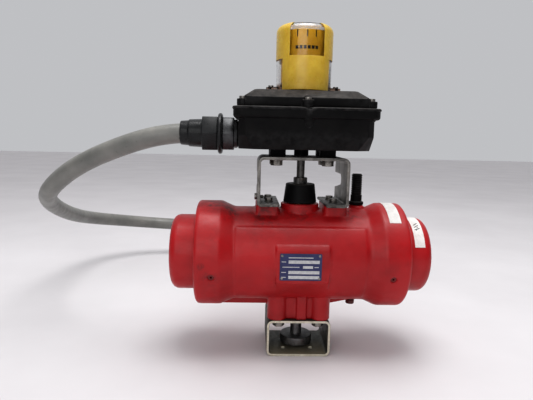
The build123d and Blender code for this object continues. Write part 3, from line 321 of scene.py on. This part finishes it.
def clear_plastic():
    """Clear moulding gone slightly brown, most of all in its thick base flange."""
    f = Finish("clear_plastic", Transmission_Weight=1.0, IOR=1.3, Specular_IOR_Level=0.5)
    height = f.add("SeparateXYZ", {"Vector": f.place}).outputs["Z"]
    fresh = f.ramp(f.noise(60, 5), (0.3, rgb(0.88, 0.86, 0.84)), (0.7, rgb(0.97, 0.96, 0.95)))
    f.colour(f.mix(f.mask(height, 0.3360, 0.3320), fresh, rgb(0.30, 0.20, 0.15)))
    f.roughness(f.ramp(f.noise(120, 6), (0.4, 0.03), (0.75, 0.18)))
    f.bump(f.noise(240, 4), 0.03, 0.0004)
    return f.material


def label_paper():
    """White vinyl label, soiled towards its edges."""
    f = Finish("label_paper")
    soil = f.mask(f.noise(130, 8, 0.7), 0.45, 0.75)
    f.colour(f.mix(f.sum("MULTIPLY", soil, 0.5), rgb(0.78, 0.76, 0.73), rgb(0.40, 0.36, 0.33)))
    f.roughness(f.ramp(f.noise(90, 4), (0.3, 0.45), (0.7, 0.65)))
    f.bump(f.noise(600, 3), 0.08, 0.0002)
    return f.material


def tube_metal():
    """Plated tube: bright worn rims at both mouths, stained and dark everywhere else, the dark standing
    partly for the shade inside it, with painted light on its floor near the front mouth.
    """
    f = Finish("tube_metal", Metallic=0.35, Specular_IOR_Level=0.35)
    # Dark and stained; the darkness stands partly for the shade inside the tube.
    tone = f.ramp(f.noise(55, 8, 0.7), (0.32, rgb(0.020, 0.021, 0.019)), (0.72, rgb(0.12, 0.115, 0.095)))
    high = f.add("SeparateXYZ", {"Vector": f.place})
    # Painted light on the tube's floor just inside the front mouth.
    floor_share = f.mask(high.outputs["Z"], 0.0045, 0.0028)
    near_mouth = f.mask(high.outputs["Y"], 0.004, -0.034)
    lit = f.sum("MULTIPLY", floor_share, near_mouth)
    tone = f.mix(f.sum("MULTIPLY", lit, 0.8), tone, rgb(0.34, 0.29, 0.20))
    normal = f.add("SeparateXYZ", {"Vector": f.add("NewGeometry", {}).outputs["Normal"]})
    rim = f.mask(f.sum("ABSOLUTE", normal.outputs["Y"], 0), 0.45, 0.85)
    bright = f.ramp(f.noise(200, 6), (0.3, rgb(0.55, 0.51, 0.40)), (0.7, rgb(0.74, 0.70, 0.59)))
    f.colour(f.mix(rim, tone, bright))
    f.roughness(f.ramp(f.noise(120, 5), (0.3, 0.38), (0.7, 0.65)))
    f.bump(f.noise(700, 4), 0.12, 0.0004, rounding=0.0006)
    return f.material


def bracket_sheet():
    """Zinc plated sheet gone dull: streaks down the legs, greasy grime and painted shade from the switch box
    round the feet.
    """
    f = Finish("bracket_sheet", Metallic=0.7)
    tone = f.ramp(f.noise(70, 8, 0.7), (0.30, rgb(0.085, 0.083, 0.080)), (0.70, rgb(0.36, 0.345, 0.32)))
    streak = f.mask(f.noise(160, 6, 0.6, stretch=(1, 1, 0.12)), 0.52, 0.66)
    tone = f.mix(f.sum("MULTIPLY", streak, 0.5), tone, rgb(0.09, 0.085, 0.08))
    stain = f.mask(f.noise(120, 9, 0.75, offset=(5, 2, 7)), 0.55, 0.70)
    tone = f.mix(f.sum("MULTIPLY", stain, 0.5), tone, rgb(0.10, 0.055, 0.03))
    # Darker round the feet, under the switch box: grime and painted shade.
    low = f.mask(f.add("SeparateXYZ", {"Vector": f.place}).outputs["Z"], 0.203, 0.190)
    grime_and_shade_round_feet = f.sum("MULTIPLY", low, f.mask(f.noise(95, 8, 0.7, offset=(1, 4, 2)), 0.38, 0.56))
    tone = f.mix(f.sum("MULTIPLY", grime_and_shade_round_feet, 0.85), tone, rgb(0.018, 0.015, 0.013))
    f.colour(tone)
    f.roughness(f.ramp(f.noise(140, 5), (0.3, 0.35), (0.7, 0.62)))
    f.bump(f.sum("ADD", f.noise(900, 3), streak), 0.08, 0.0004, rounding=0.0005)
    return f.material


RED = red_enamel()
BLACK = black_moulding()
JACKET = conduit_finish()
CLEAR = clear_plastic()
PAPER = label_paper()
TUBE = tube_metal()
SHEET = bracket_sheet()
ZINC = metal("dull_zinc", rgb(0.11, 0.105, 0.10), rgb(0.42, 0.40, 0.37), (0.35, 0.6), rust=0.5, scale=150)
STEEL = metal("shaft_steel", rgb(0.22, 0.21, 0.20), rgb(0.55, 0.54, 0.51), (0.25, 0.5), rust=0.25, scale=110)
DARK_STEEL = metal(
    "dark_steel", rgb(0.05, 0.048, 0.046), rgb(0.20, 0.195, 0.19), (0.35, 0.6), rust=0.4, scale=90
)
COUPLING = metal(
    "coupling_steel", rgb(0.06, 0.06, 0.065), rgb(0.26, 0.255, 0.25), (0.35, 0.6), rust=0.3, scale=110
)
ALUMINIUM = metal("cast_aluminium", rgb(0.45, 0.45, 0.46), rgb(0.72, 0.73, 0.74), (0.35, 0.55), scale=80)
BRONZE = metal("bush_bronze", rgb(0.38, 0.24, 0.09), rgb(0.66, 0.45, 0.20), (0.3, 0.5), scale=100)
RUBBER = plastic("seal_rubber", rgb(0.010, 0.010, 0.010), rgb(0.028, 0.028, 0.028), 0.6)
NYLON = plastic("guide_nylon", rgb(0.62, 0.60, 0.52), rgb(0.78, 0.76, 0.68), 0.45)
FITTING = plastic(
    "dark_fitting", rgb(0.008, 0.0085, 0.009), rgb(0.020, 0.021, 0.022), 0.3, Specular_IOR_Level=0.25
)
PLUG = plastic("wire_plug", rgb(0.10, 0.008, 0.008), rgb(0.22, 0.014, 0.014), 0.5)
GREY_FITTING = metal(
    "grey_fitting", rgb(0.02, 0.02, 0.022), rgb(0.09, 0.092, 0.095), (0.25, 0.4), metallic=0.5
)
YELLOW = plastic(
    "yellow_plastic", rgb(0.68, 0.40, 0.040), rgb(0.84, 0.54, 0.075), 0.28, Subsurface_Weight=0.15
)
ORANGE = plastic("orange_plastic", rgb(0.78, 0.40, 0.015), rgb(0.92, 0.52, 0.025), 0.35)
NAVY = plastic("navy_print", rgb(0.018, 0.022, 0.085), rgb(0.035, 0.040, 0.13), 0.38)
BROWN = plastic("brown_plug", rgb(0.06, 0.010, 0.010), rgb(0.13, 0.018, 0.016), 0.45)
CAM_GREEN = plastic("cam_green", rgb(0.02, 0.22, 0.05), rgb(0.05, 0.35, 0.10), 0.4)
CAM_RED = plastic("cam_red", rgb(0.42, 0.02, 0.02), rgb(0.60, 0.05, 0.04), 0.4)
FIELD = plastic("plate_field", rgb(0.42, 0.42, 0.44), rgb(0.62, 0.62, 0.62), 0.5, scale=260)
INK = plastic("black_ink", rgb(0.010, 0.009, 0.008), rgb(0.030, 0.026, 0.022), 0.5, scale=400)

FINISHES = {
    RED: "actuator_body left_end_cap right_end_cap",
    BLACK: "switch_box_base switch_box_lid position_boot exhaust_breather terminal_strip open_sensor "
    "closed_sensor",
    FITTING: "gland_ring gland_nut connector_ring connector_nut",
    GREY_FITTING: "gland_body gland_locknut connector_body",
    CLEAR: "indicator_dome",
    PAPER: "paper_labels",
    TUBE: "mounting_tube",
    SHEET: "upper_bracket sensor_bracket",
    ZINC: "tube_bolts tube_bolt_washers foot_bolts foot_bolt_washers box_bolts box_bolt_washers earth_screw "
    "lid_screws dome_screws end_cap_retaining_rings shaft_circlip",
    COUPLING: "output_coupling",
    STEEL: "square_insert thrust_washer left_spring right_spring",
    DARK_STEEL: "drive_shaft switch_spindle",
    ALUMINIUM: "left_piston right_piston",
    BRONZE: "upper_bush lower_bush",
    RUBBER: "end_cap_seals left_piston_seal right_piston_seal shaft_o_rings lid_gasket",
    NYLON: "left_guide_band right_guide_band",
    YELLOW: "indicator_mask",
    ORANGE: "indicator_drum",
    NAVY: "nameplate",
    BROWN: "drain_plug",
    PLUG: "wire_plugs",
    CAM_GREEN: "open_cam",
    CAM_RED: "closed_cam",
}


def paint(piece, material):
    piece.data.materials.clear()
    piece.data.materials.append(material)


for material, names in FINISHES.items():
    for name in names.split():
        paint(NODES[name], material)
paint(conduit, JACKET)


# ---------------------------------------------------------------- mesh helpers
def new_piece(name, mesh, material, body):
    piece = bpy.data.objects.new(name, mesh)
    bpy.context.scene.collection.objects.link(piece)
    paint(piece, material)
    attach(piece, body)
    return piece


def shade_smooth(mesh, angle=40):
    for polygon in mesh.polygons:
        polygon.use_smooth = True
    mesh.set_sharp_from_angle(angle=math.radians(angle))


def applied(piece, *modifiers):
    """Adds modifiers given as (type, settings) and makes their result the piece's mesh."""
    for kind, settings in modifiers:
        modifier = piece.modifiers.new(kind.lower(), kind)
        for key, value in settings.items():
            setattr(modifier, key, value)
    bpy.context.view_layer.update()
    graph = bpy.context.evaluated_depsgraph_get()
    mesh = bpy.data.meshes.new_from_object(piece.evaluated_get(graph))
    piece.modifiers.clear()
    piece.data = mesh
    return piece


def copy_of(node, name, material, body):
    """A welded copy of a CAD node's mesh that stands for it."""
    mesh = NODES[node].data.copy()
    work = bmesh.new()
    work.from_mesh(mesh)
    bmesh.ops.remove_doubles(work, verts=work.verts, dist=0.002 * MM)
    bmesh.ops.dissolve_limit(work, angle_limit=math.radians(0.5), verts=work.verts, edges=work.edges)
    work.to_mesh(mesh)
    work.free()
    piece = new_piece(name, mesh, material, body)
    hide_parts(node)
    return piece


def bevelled(node, name, material, body, width):
    """A copy of a CAD node with its sharp edges rounded."""
    piece = copy_of(node, name, material, body)
    rounding = {
        "width": width,
        "segments": 3,
        "limit_method": "ANGLE",
        "angle_limit": math.radians(30),
        "use_clamp_overlap": False,
    }
    applied(piece, ("BEVEL", rounding))
    shade_smooth(piece.data, 35)
    return piece


# ---------------------------------------------------------------- castings
def weights(piece, name, rule):
    """A vertex group whose weight is rule(position), 0 to 1."""
    group = piece.vertex_groups.new(name=name)
    for vertex in piece.data.vertices:
        weight = rule(vertex.co)
        if weight > 0:
            group.add([vertex.index], weight, "REPLACE")


# Limits of the casting's machined places, in metres
BORE_REACH = 0.053
BORE_LOW_Z = 0.0755
SHAFT_REACH = 0.0285
TOP_PAD_Z = 0.1876
FOOT_Z = 0.0475
FOOT_BLEND = 0.008
FOOT_WEIGHT = 0.12


def outside_skin(place):
    """1 on the casting's outer skin, 0 in the bore and shaft seats, little at the machined foot."""
    if math.hypot(place.y, place.z - AXIS_Z) < BORE_REACH and place.z > BORE_LOW_Z:
        return 0
    if math.hypot(place.x, place.y) < SHAFT_REACH or place.z > TOP_PAD_Z:
        return 0
    return min(1, max(FOOT_WEIGHT, (place.z - FOOT_Z) / FOOT_BLEND))


def cast_body():
    body = copy_of("actuator_body", "body_casting", RED, "housing")
    applied(body, ("REMESH", {"mode": "VOXEL", "voxel_size": 0.95 * MM}))
    weights(body, "skin", outside_skin)
    soften = {"factor": 0.5, "iterations": 16, "vertex_group": "skin"}
    applied(body, ("SMOOTH", soften), ("DECIMATE", {"ratio": 0.42}))
    shade_smooth(body.data, 50)


def cast_cap(side):
    cap = copy_of(f"{side}_end_cap", f"{side}_cap_casting", RED, "housing")
    rounding = {"width": 0.8 * MM, "segments": 2, "limit_method": "ANGLE", "use_clamp_overlap": False}
    applied(cap, ("BEVEL", rounding))
    shade_smooth(cap.data, 35)


cast_body()
for side in ("left", "right"):
    cast_cap(side)

# ---------------------------------------------------------------- CAD pieces with rounded edges
ROUNDED = [
    ("switch_box_base", "box_base", BLACK, "black_moulding", 0.9),
    ("switch_box_lid", "box_lid", BLACK, "black_moulding", 0.8),
    ("indicator_mask", "yellow_mask", YELLOW, "yellow_mask", 0.5),
    ("indicator_dome", "clear_dome", CLEAR, "clear_dome", 0.4),
    ("gland_body", "gland_neck", GREY_FITTING, "dark_fitting", 0.6),
    ("gland_ring", "gland_collar", FITTING, "dark_fitting", 0.5),
    ("gland_nut", "gland_hexagon", FITTING, "dark_fitting", 0.9),
    ("mounting_tube", "valve_tube", TUBE, "tube_steel", 0.45),
    ("upper_bracket", "bent_bracket", SHEET, "plated_sheet", 0.5),
    ("position_boot", "shaft_boot", BLACK, "black_moulding", 1.3),
    ("exhaust_breather", "ribbed_breather", BLACK, "black_moulding", 0.25),
    ("tube_bolts", "tube_hexagons", ZINC, "zinc_fastener", 0.5),
    ("foot_bolts", "foot_hexagons", ZINC, "zinc_fastener", 0.4),
    ("box_bolts", "box_hexagons", ZINC, "zinc_fastener", 0.5),
    ("lid_screws", "lid_pan_heads", ZINC, "zinc_fastener", 0.3),
    ("dome_screws", "dome_pan_heads", ZINC, "zinc_fastener", 0.25),
    ("earth_screw", "earth_hexagon", ZINC, "zinc_fastener", 0.4),
    ("drain_plug", "drain_button", BROWN, "brown_plug", 0.6),
]
TURNING = [
    ("output_coupling", "coupling_disc", COUPLING, "shaft_steel", 0.6),
    ("drive_shaft", "slotted_shaft", DARK_STEEL, "shaft_steel", 0.3),
    ("indicator_drum", "orange_flag_drum", ORANGE, "orange_drum", 0.5),
]
for body_name, pieces in (("housing", ROUNDED), ("drive_train", TURNING)):
    for node, name, finish, slot, width in pieces:
        bevelled(node, name, finish, body_name, width * MM)


# ---------------------------------------------------------------- sheets wrapped round an upright axis
def flat_sheet(outline, thickness, strip):
    """A thin slab in XZ, its outline in metres, cut into upright strips so that it can be bent."""
    work = bmesh.new()
    corners = [work.verts.new((x, 0, z)) for x, z in outline]
    work.faces.new(corners)
    low, high = min(x for x, z in outline), max(x for x, z in outline)
    for cut in range(1, max(1, math.ceil((high - low) / strip))):
        everything = work.verts[:] + work.edges[:] + work.faces[:]
        bmesh.ops.bisect_plane(work, geom=everything, plane_co=(low + cut * strip, 0, 0), plane_no=(1, 0, 0))
    top = bmesh.ops.extrude_face_region(work, geom=work.faces[:])["geom"]
    raised = [item for item in top if isinstance(item, bmesh.types.BMVert)]
    bmesh.ops.translate(work, verts=raised, vec=(0, -thickness, 0))
    bmesh.ops.recalc_face_normals(work, faces=work.faces[:])
    mesh = bpy.data.meshes.new("sheet")
    work.to_mesh(mesh)
    work.free()
    return mesh


def oblong(x, z, width, height):
    return [
        (x - width / 2, z - height / 2),
        (x + width / 2, z - height / 2),
        (x + width / 2, z + height / 2),
        (x - width / 2, z + height / 2),
    ]


def wrapped(outline, radius, thickness):
    """A slab bent round the shaft axis, facing the front."""
    mesh = flat_sheet(outline, thickness, 1.5 * MM)
    for vertex in mesh.vertices:
        along, out = vertex.co.x / radius, radius - vertex.co.y
        vertex.co = (out * math.sin(along), -out * math.cos(along), vertex.co.z)
    return mesh


def joined(meshes):
    work = bmesh.new()
    for mesh in meshes:
        work.from_mesh(mesh)
    result = bpy.data.meshes.new("joined")
    work.to_mesh(result)
    work.free()
    return result


def round_the_bore(mesh, radius):
    """Bends a sheet round the cylinder's axis; 1 mm of its Z becomes 1 degree up from the front."""
    for vertex in mesh.vertices:
        angle, out = math.radians(vertex.co.z * 1000), radius - vertex.co.y
        vertex.co = (vertex.co.x, -out * math.cos(angle), AXIS_Z + out * math.sin(angle))
    return mesh


# Plain pen strokes on the end cap's label: X in mm, then degrees up from the front
STROKES = [
    [(139.6, 62), (140.5, 61.2), (145.6, 66.6), (144.8, 67.4)],
    [(139.8, 57.2), (140.6, 56.4), (146.4, 62), (145.7, 62.8)],
    [(141.4, 51), (142.4, 50.6), (144.9, 58.2), (143.9, 58.6)],
    [(139.6, 52.6), (140, 51.4), (146.8, 54.6), (146.2, 55.8)],
]
LABEL_FACE_R = 47.37 * MM
INK_DEPTH = 0.06 * MM
UNCUT = 0.05
strokes = []
for outline in STROKES:
    flat = flat_sheet([(x * MM, degrees * MM) for x, degrees in outline], INK_DEPTH, UNCUT)
    strokes.append(round_the_bore(flat, LABEL_FACE_R))
new_piece("label_strokes", joined(strokes), INK, "housing")

# Scale ticks and a plain row of blocks as the drum's legend
DRUM_R = 28.5 * MM
TICK_Z, BLOCK_Z = 391.2 * MM, 375.4 * MM
ticks = [oblong(x * MM, TICK_Z, 1.3 * MM, 8 * MM) for x in (-11.6, 0, 10.4, 25, -25)]
blocks = [oblong(x * MM, BLOCK_Z, 3.4 * MM, 3.8 * MM) for x in (-11.8, -7.1, -2.4, 2.3, 7, 11.7)]
marks = [wrapped(outline, DRUM_R + 0.02 * MM, 0.12 * MM) for outline in ticks + blocks]
new_piece("drum_marks", joined(marks), INK, "drive_train")

# ---------------------------------------------------------------- nameplate print
# In mm: the plate's left and top edges and its face; then each oblong's centre from that corner,
# its width and its height
PLATE_LEFT, PLATE_TOP, PLATE_FACE = -27.25, 137.0, -61.3
PLATE_FIELDS = [
    (28.3, 9.7, 36.4, 3.9),
    (32.9, 15.9, 11.8, 3.2),
    (28.3, 22.2, 36.4, 3.9),
    (28.3, 28.1, 36.4, 3.9),
]
PLATE_LINES = [(24.5, 4.7, 29, 1.1), (4.6, 9.7, 5.2, 1.0), (13, 15.9, 20, 1.0), (43, 15.9, 5, 1.0)]
PLATE_LINES += [(4.6, 22.2, 5.6, 1.0), (4.6, 28.1, 5.4, 1.0)]


def plate_print(name, oblongs, material, thickness):
    sheets = []
    for x, down, width, height in oblongs:
        outline = oblong((PLATE_LEFT + x) * MM, (PLATE_TOP - down) * MM, width * MM, height * MM)
        sheet = flat_sheet(outline, thickness * MM, UNCUT)
        sheet.transform(Matrix.Translation((0, (PLATE_FACE - 0.01) * MM, 0)))
        sheets.append(sheet)
    new_piece(name, joined(sheets), material, "housing")


plate_print("plate_fields", PLATE_FIELDS, FIELD, 0.06)
plate_print("plate_lines", PLATE_LINES, FIELD, 0.04)


# ---------------------------------------------------------------- turned and hexagonal details
def turned(name, outline, place, material, body, sides=48):
    """A solid of revolution about an upright axis; the outline is (radius, height) in millimetres."""
    verts, faces = [], []
    for radius, height in outline:
        for corner in range(sides):
            angle = math.tau * corner / sides
            verts.append((radius * MM * math.cos(angle), radius * MM * math.sin(angle), height * MM))
    for ring in range(len(outline) - 1):
        for corner in range(sides):
            first, second = ring * sides + corner, ring * sides + (corner + 1) % sides
            faces.append((first, second, second + sides, first + sides))
    faces.append(tuple(reversed(range(sides))))
    faces.append(tuple(range(len(verts) - sides, len(verts))))
    mesh = bpy.data.meshes.new(name)
    mesh.from_pydata([tuple(Vector(v) + Vector(place) * MM) for v in verts], [], faces)
    shade_smooth(mesh, 35)
    return new_piece(name, mesh, material, body)


# The boss under the lip for the middle screw, front and back
BOSS = [(1.5, 281), (4.2, 281.6), (5.6, 283.5), (7.2, 291), (8.4, 297), (8.4, 303)]
BOSS_X, BOSS_Y = 1.5, 54.2
for side, sign in (("front", -1), ("back", 1)):
    turned(f"{side}_screw_boss", BOSS, (BOSS_X, sign * BOSS_Y, 0), BLACK, "housing")

# Rivets of the nameplate
RIVET = [(0.9, -0.6), (1.5, 0), (1.35, 0.35), (0.7, 0.6)]
RIVET_SIDES = 20
PLATE_X, PLATE_Z = -2.65, 121
RIVET_X, RIVET_Z = 22, 13.5
rivet_places = [(PLATE_X + sx * RIVET_X, PLATE_Z + sz * RIVET_Z) for sx in (-1, 1) for sz in (-1, 1)]
for number, (x, z) in enumerate(rivet_places, 1):
    rivet = turned(
        f"plate_rivet_{number}", RIVET, (0, 0, 0), ZINC, "housing", RIVET_SIDES
    )
    seat = Matrix.Translation((x * MM, PLATE_FACE * MM, z * MM))
    rivet.data.transform(seat @ Matrix.Rotation(math.pi / 2, 4, "X"))


# The lip's dip under a middle screw, in mm: how deep and how wide
DIP_DEPTH, DIP_WIDTH = 2.4, 4.2


def bead(name, half_x, half_y, corner, height, thickness, material):
    """A rounded rim that runs round the box and dips under the two middle screws, in mm."""
    points = []
    for centre_x, centre_y, start in ((1, 1, 0), (-1, 1, 90), (-1, -1, 180), (1, -1, 270)):
        for step in range(9):
            angle = math.radians(start + 90 * step / 8)
            x = centre_x * (half_x - corner) + corner * math.cos(angle)
            y = centre_y * (half_y - corner) + corner * math.sin(angle)
            points.append((x, y))
    path = []
    for (x0, y0), (x1, y1) in zip(points, points[1:] + points[:1]):
        pieces = max(1, math.ceil(math.hypot(x1 - x0, y1 - y0) / 2))
        for piece in range(pieces):
            share = piece / pieces
            path.append((x0 + (x1 - x0) * share, y0 + (y1 - y0) * share))
    data = bpy.data.curves.new(name, "CURVE")
    data.dimensions = "3D"
    line = data.splines.new("POLY")
    line.points.add(len(path) - 1)
    for point, (x, y) in zip(line.points, path):
        on_long_side = abs(y) > half_y - 1
        dip = DIP_DEPTH * math.exp(-(((x - BOSS_X) / DIP_WIDTH) ** 2)) if on_long_side else 0
        point.co = (x * MM, y * MM, (height - dip) * MM, 1)
    line.use_cyclic_u = True
    data.bevel_depth = thickness * MM
    data.bevel_resolution = 3
    source = bpy.data.objects.new(name + "_path", data)
    bpy.context.scene.collection.objects.link(source)
    bpy.context.view_layer.update()
    mesh = bpy.data.meshes.new_from_object(source.evaluated_get(bpy.context.evaluated_depsgraph_get()))
    bpy.data.objects.remove(source)
    shade_smooth(mesh, 60)
    return new_piece(name, mesh, material, "housing")


bead("lip_bead", 83.4, 61.4, 11.5, 303.1, 1.75, BLACK)


# ---------------------------------------------------------------- return springs, lighter than the CAD's
def spring(side):
    """A coil between the piston and the cap, about the cylinder's axis."""
    low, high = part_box(f"{side}_spring")
    wire = 3.6 * MM
    start, end = low.x + wire, high.x - wire
    mean = (high.z - low.z) / 2 - wire
    turns, steps, ring = 6, 36, 10
    verts, faces = [], []
    for step in range(turns * steps + 1):
        angle = math.tau * step / steps
        share = step / (turns * steps)
        out = Vector((0, math.cos(angle), math.sin(angle)))
        centre = Vector((start + (end - start) * share, 0, AXIS_Z)) + out * mean
        for corner in range(ring):
            around = math.tau * corner / ring
            verts.append(centre + out * wire * math.cos(around) + Vector((wire * math.sin(around), 0, 0)))
        if step:
            for corner in range(ring):
                first, second = (step - 1) * ring + corner, (step - 1) * ring + (corner + 1) % ring
                faces.append((first, second, second + ring, first + ring))
    faces.append(tuple(range(ring)))
    faces.append(tuple(range(len(verts) - ring, len(verts))))
    mesh = bpy.data.meshes.new(f"{side}_coil")
    mesh.from_pydata([tuple(v) for v in verts], [], faces)
    work = bmesh.new()
    work.from_mesh(mesh)
    bmesh.ops.recalc_face_normals(work, faces=work.faces[:])
    work.to_mesh(mesh)
    work.free()
    shade_smooth(mesh, 50)
    coil = new_piece(f"{side}_coil", mesh, STEEL, "housing")
    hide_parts(f"{side}_spring")
    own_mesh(coil)


spring("left")
spring("right")


# ---------------------------------------------------------------- floor and light
def make_floor():
    mesh = bpy.data.meshes.new("floor")
    reach = 6
    corners = [(-reach, -reach, 0), (reach, -reach, 0), (reach, reach, 0), (-reach, reach, 0)]
    mesh.from_pydata(corners, [], [(0, 1, 2, 3)])
    floor = bpy.data.objects.new("floor", mesh)
    bpy.context.scene.collection.objects.link(floor)
    f = Finish("floor_finish", Roughness=0.7, Specular_IOR_Level=0.2)
    f.colour(f.ramp(f.noise(4, 4), (0.3, rgb(0.66, 0.64, 0.65)), (0.7, rgb(0.72, 0.70, 0.71))))
    paint(floor, f.material)


def make_light(name, place, target, size, power):
    data = bpy.data.lights.new(name, "AREA")
    data.size = size
    data.energy = power
    light = bpy.data.objects.new(name, data)
    light.location = place
    light.rotation_euler = (Vector(target) - Vector(place)).to_track_quat("-Z", "Y").to_euler()
    bpy.context.scene.collection.objects.link(light)


def make_world():
    """A pale room: bright behind and overhead, dim in front where the photographer stands."""
    world = bpy.data.worlds.new("studio")
    world.use_nodes = True
    tree = world.node_tree
    split = tree.nodes.new("ShaderNodeSeparateXYZ")
    tree.links.new(tree.nodes.new("ShaderNodeTexCoord").outputs["Generated"], split.inputs[0])
    colour = rgb(0.075, 0.075, 0.082)
    for axis, low, high, tone in (
        ("Y", -0.1, 0.6, rgb(0.46, 0.465, 0.48)),
        ("Z", 0.45, 0.9, rgb(0.80, 0.80, 0.82)),
    ):
        share = tree.nodes.new("ShaderNodeMapRange")
        share.inputs["From Min"].default_value = low
        share.inputs["From Max"].default_value = high
        tree.links.new(split.outputs[axis], share.inputs["Value"])
        mixed = tree.nodes.new("ShaderNodeMix")
        mixed.data_type = "RGBA"
        tree.links.new(share.outputs["Result"], mixed.inputs[0])
        if isinstance(colour, bpy.types.NodeSocket):
            tree.links.new(colour, mixed.inputs[6])
        else:
            mixed.inputs[6].default_value = colour
        mixed.inputs[7].default_value = tone
        colour = mixed.outputs[2]
    tree.links.new(colour, tree.nodes["Background"].inputs["Color"])
    tree.nodes["Background"].inputs["Strength"].default_value = 1.0
    bpy.context.scene.world = world
    bpy.context.scene.view_settings.view_transform = "Standard"
    bpy.context.scene.view_settings.look = "Medium High Contrast"


make_floor()
make_world()
make_light("overhead", (0.05, -0.05, 1.75), (0, 0.05, 0.15), 1.0, 18)
make_light("front_fill", (-0.5, -1.9, 0.9), (0, 0, 0.15), 1.4, 11)
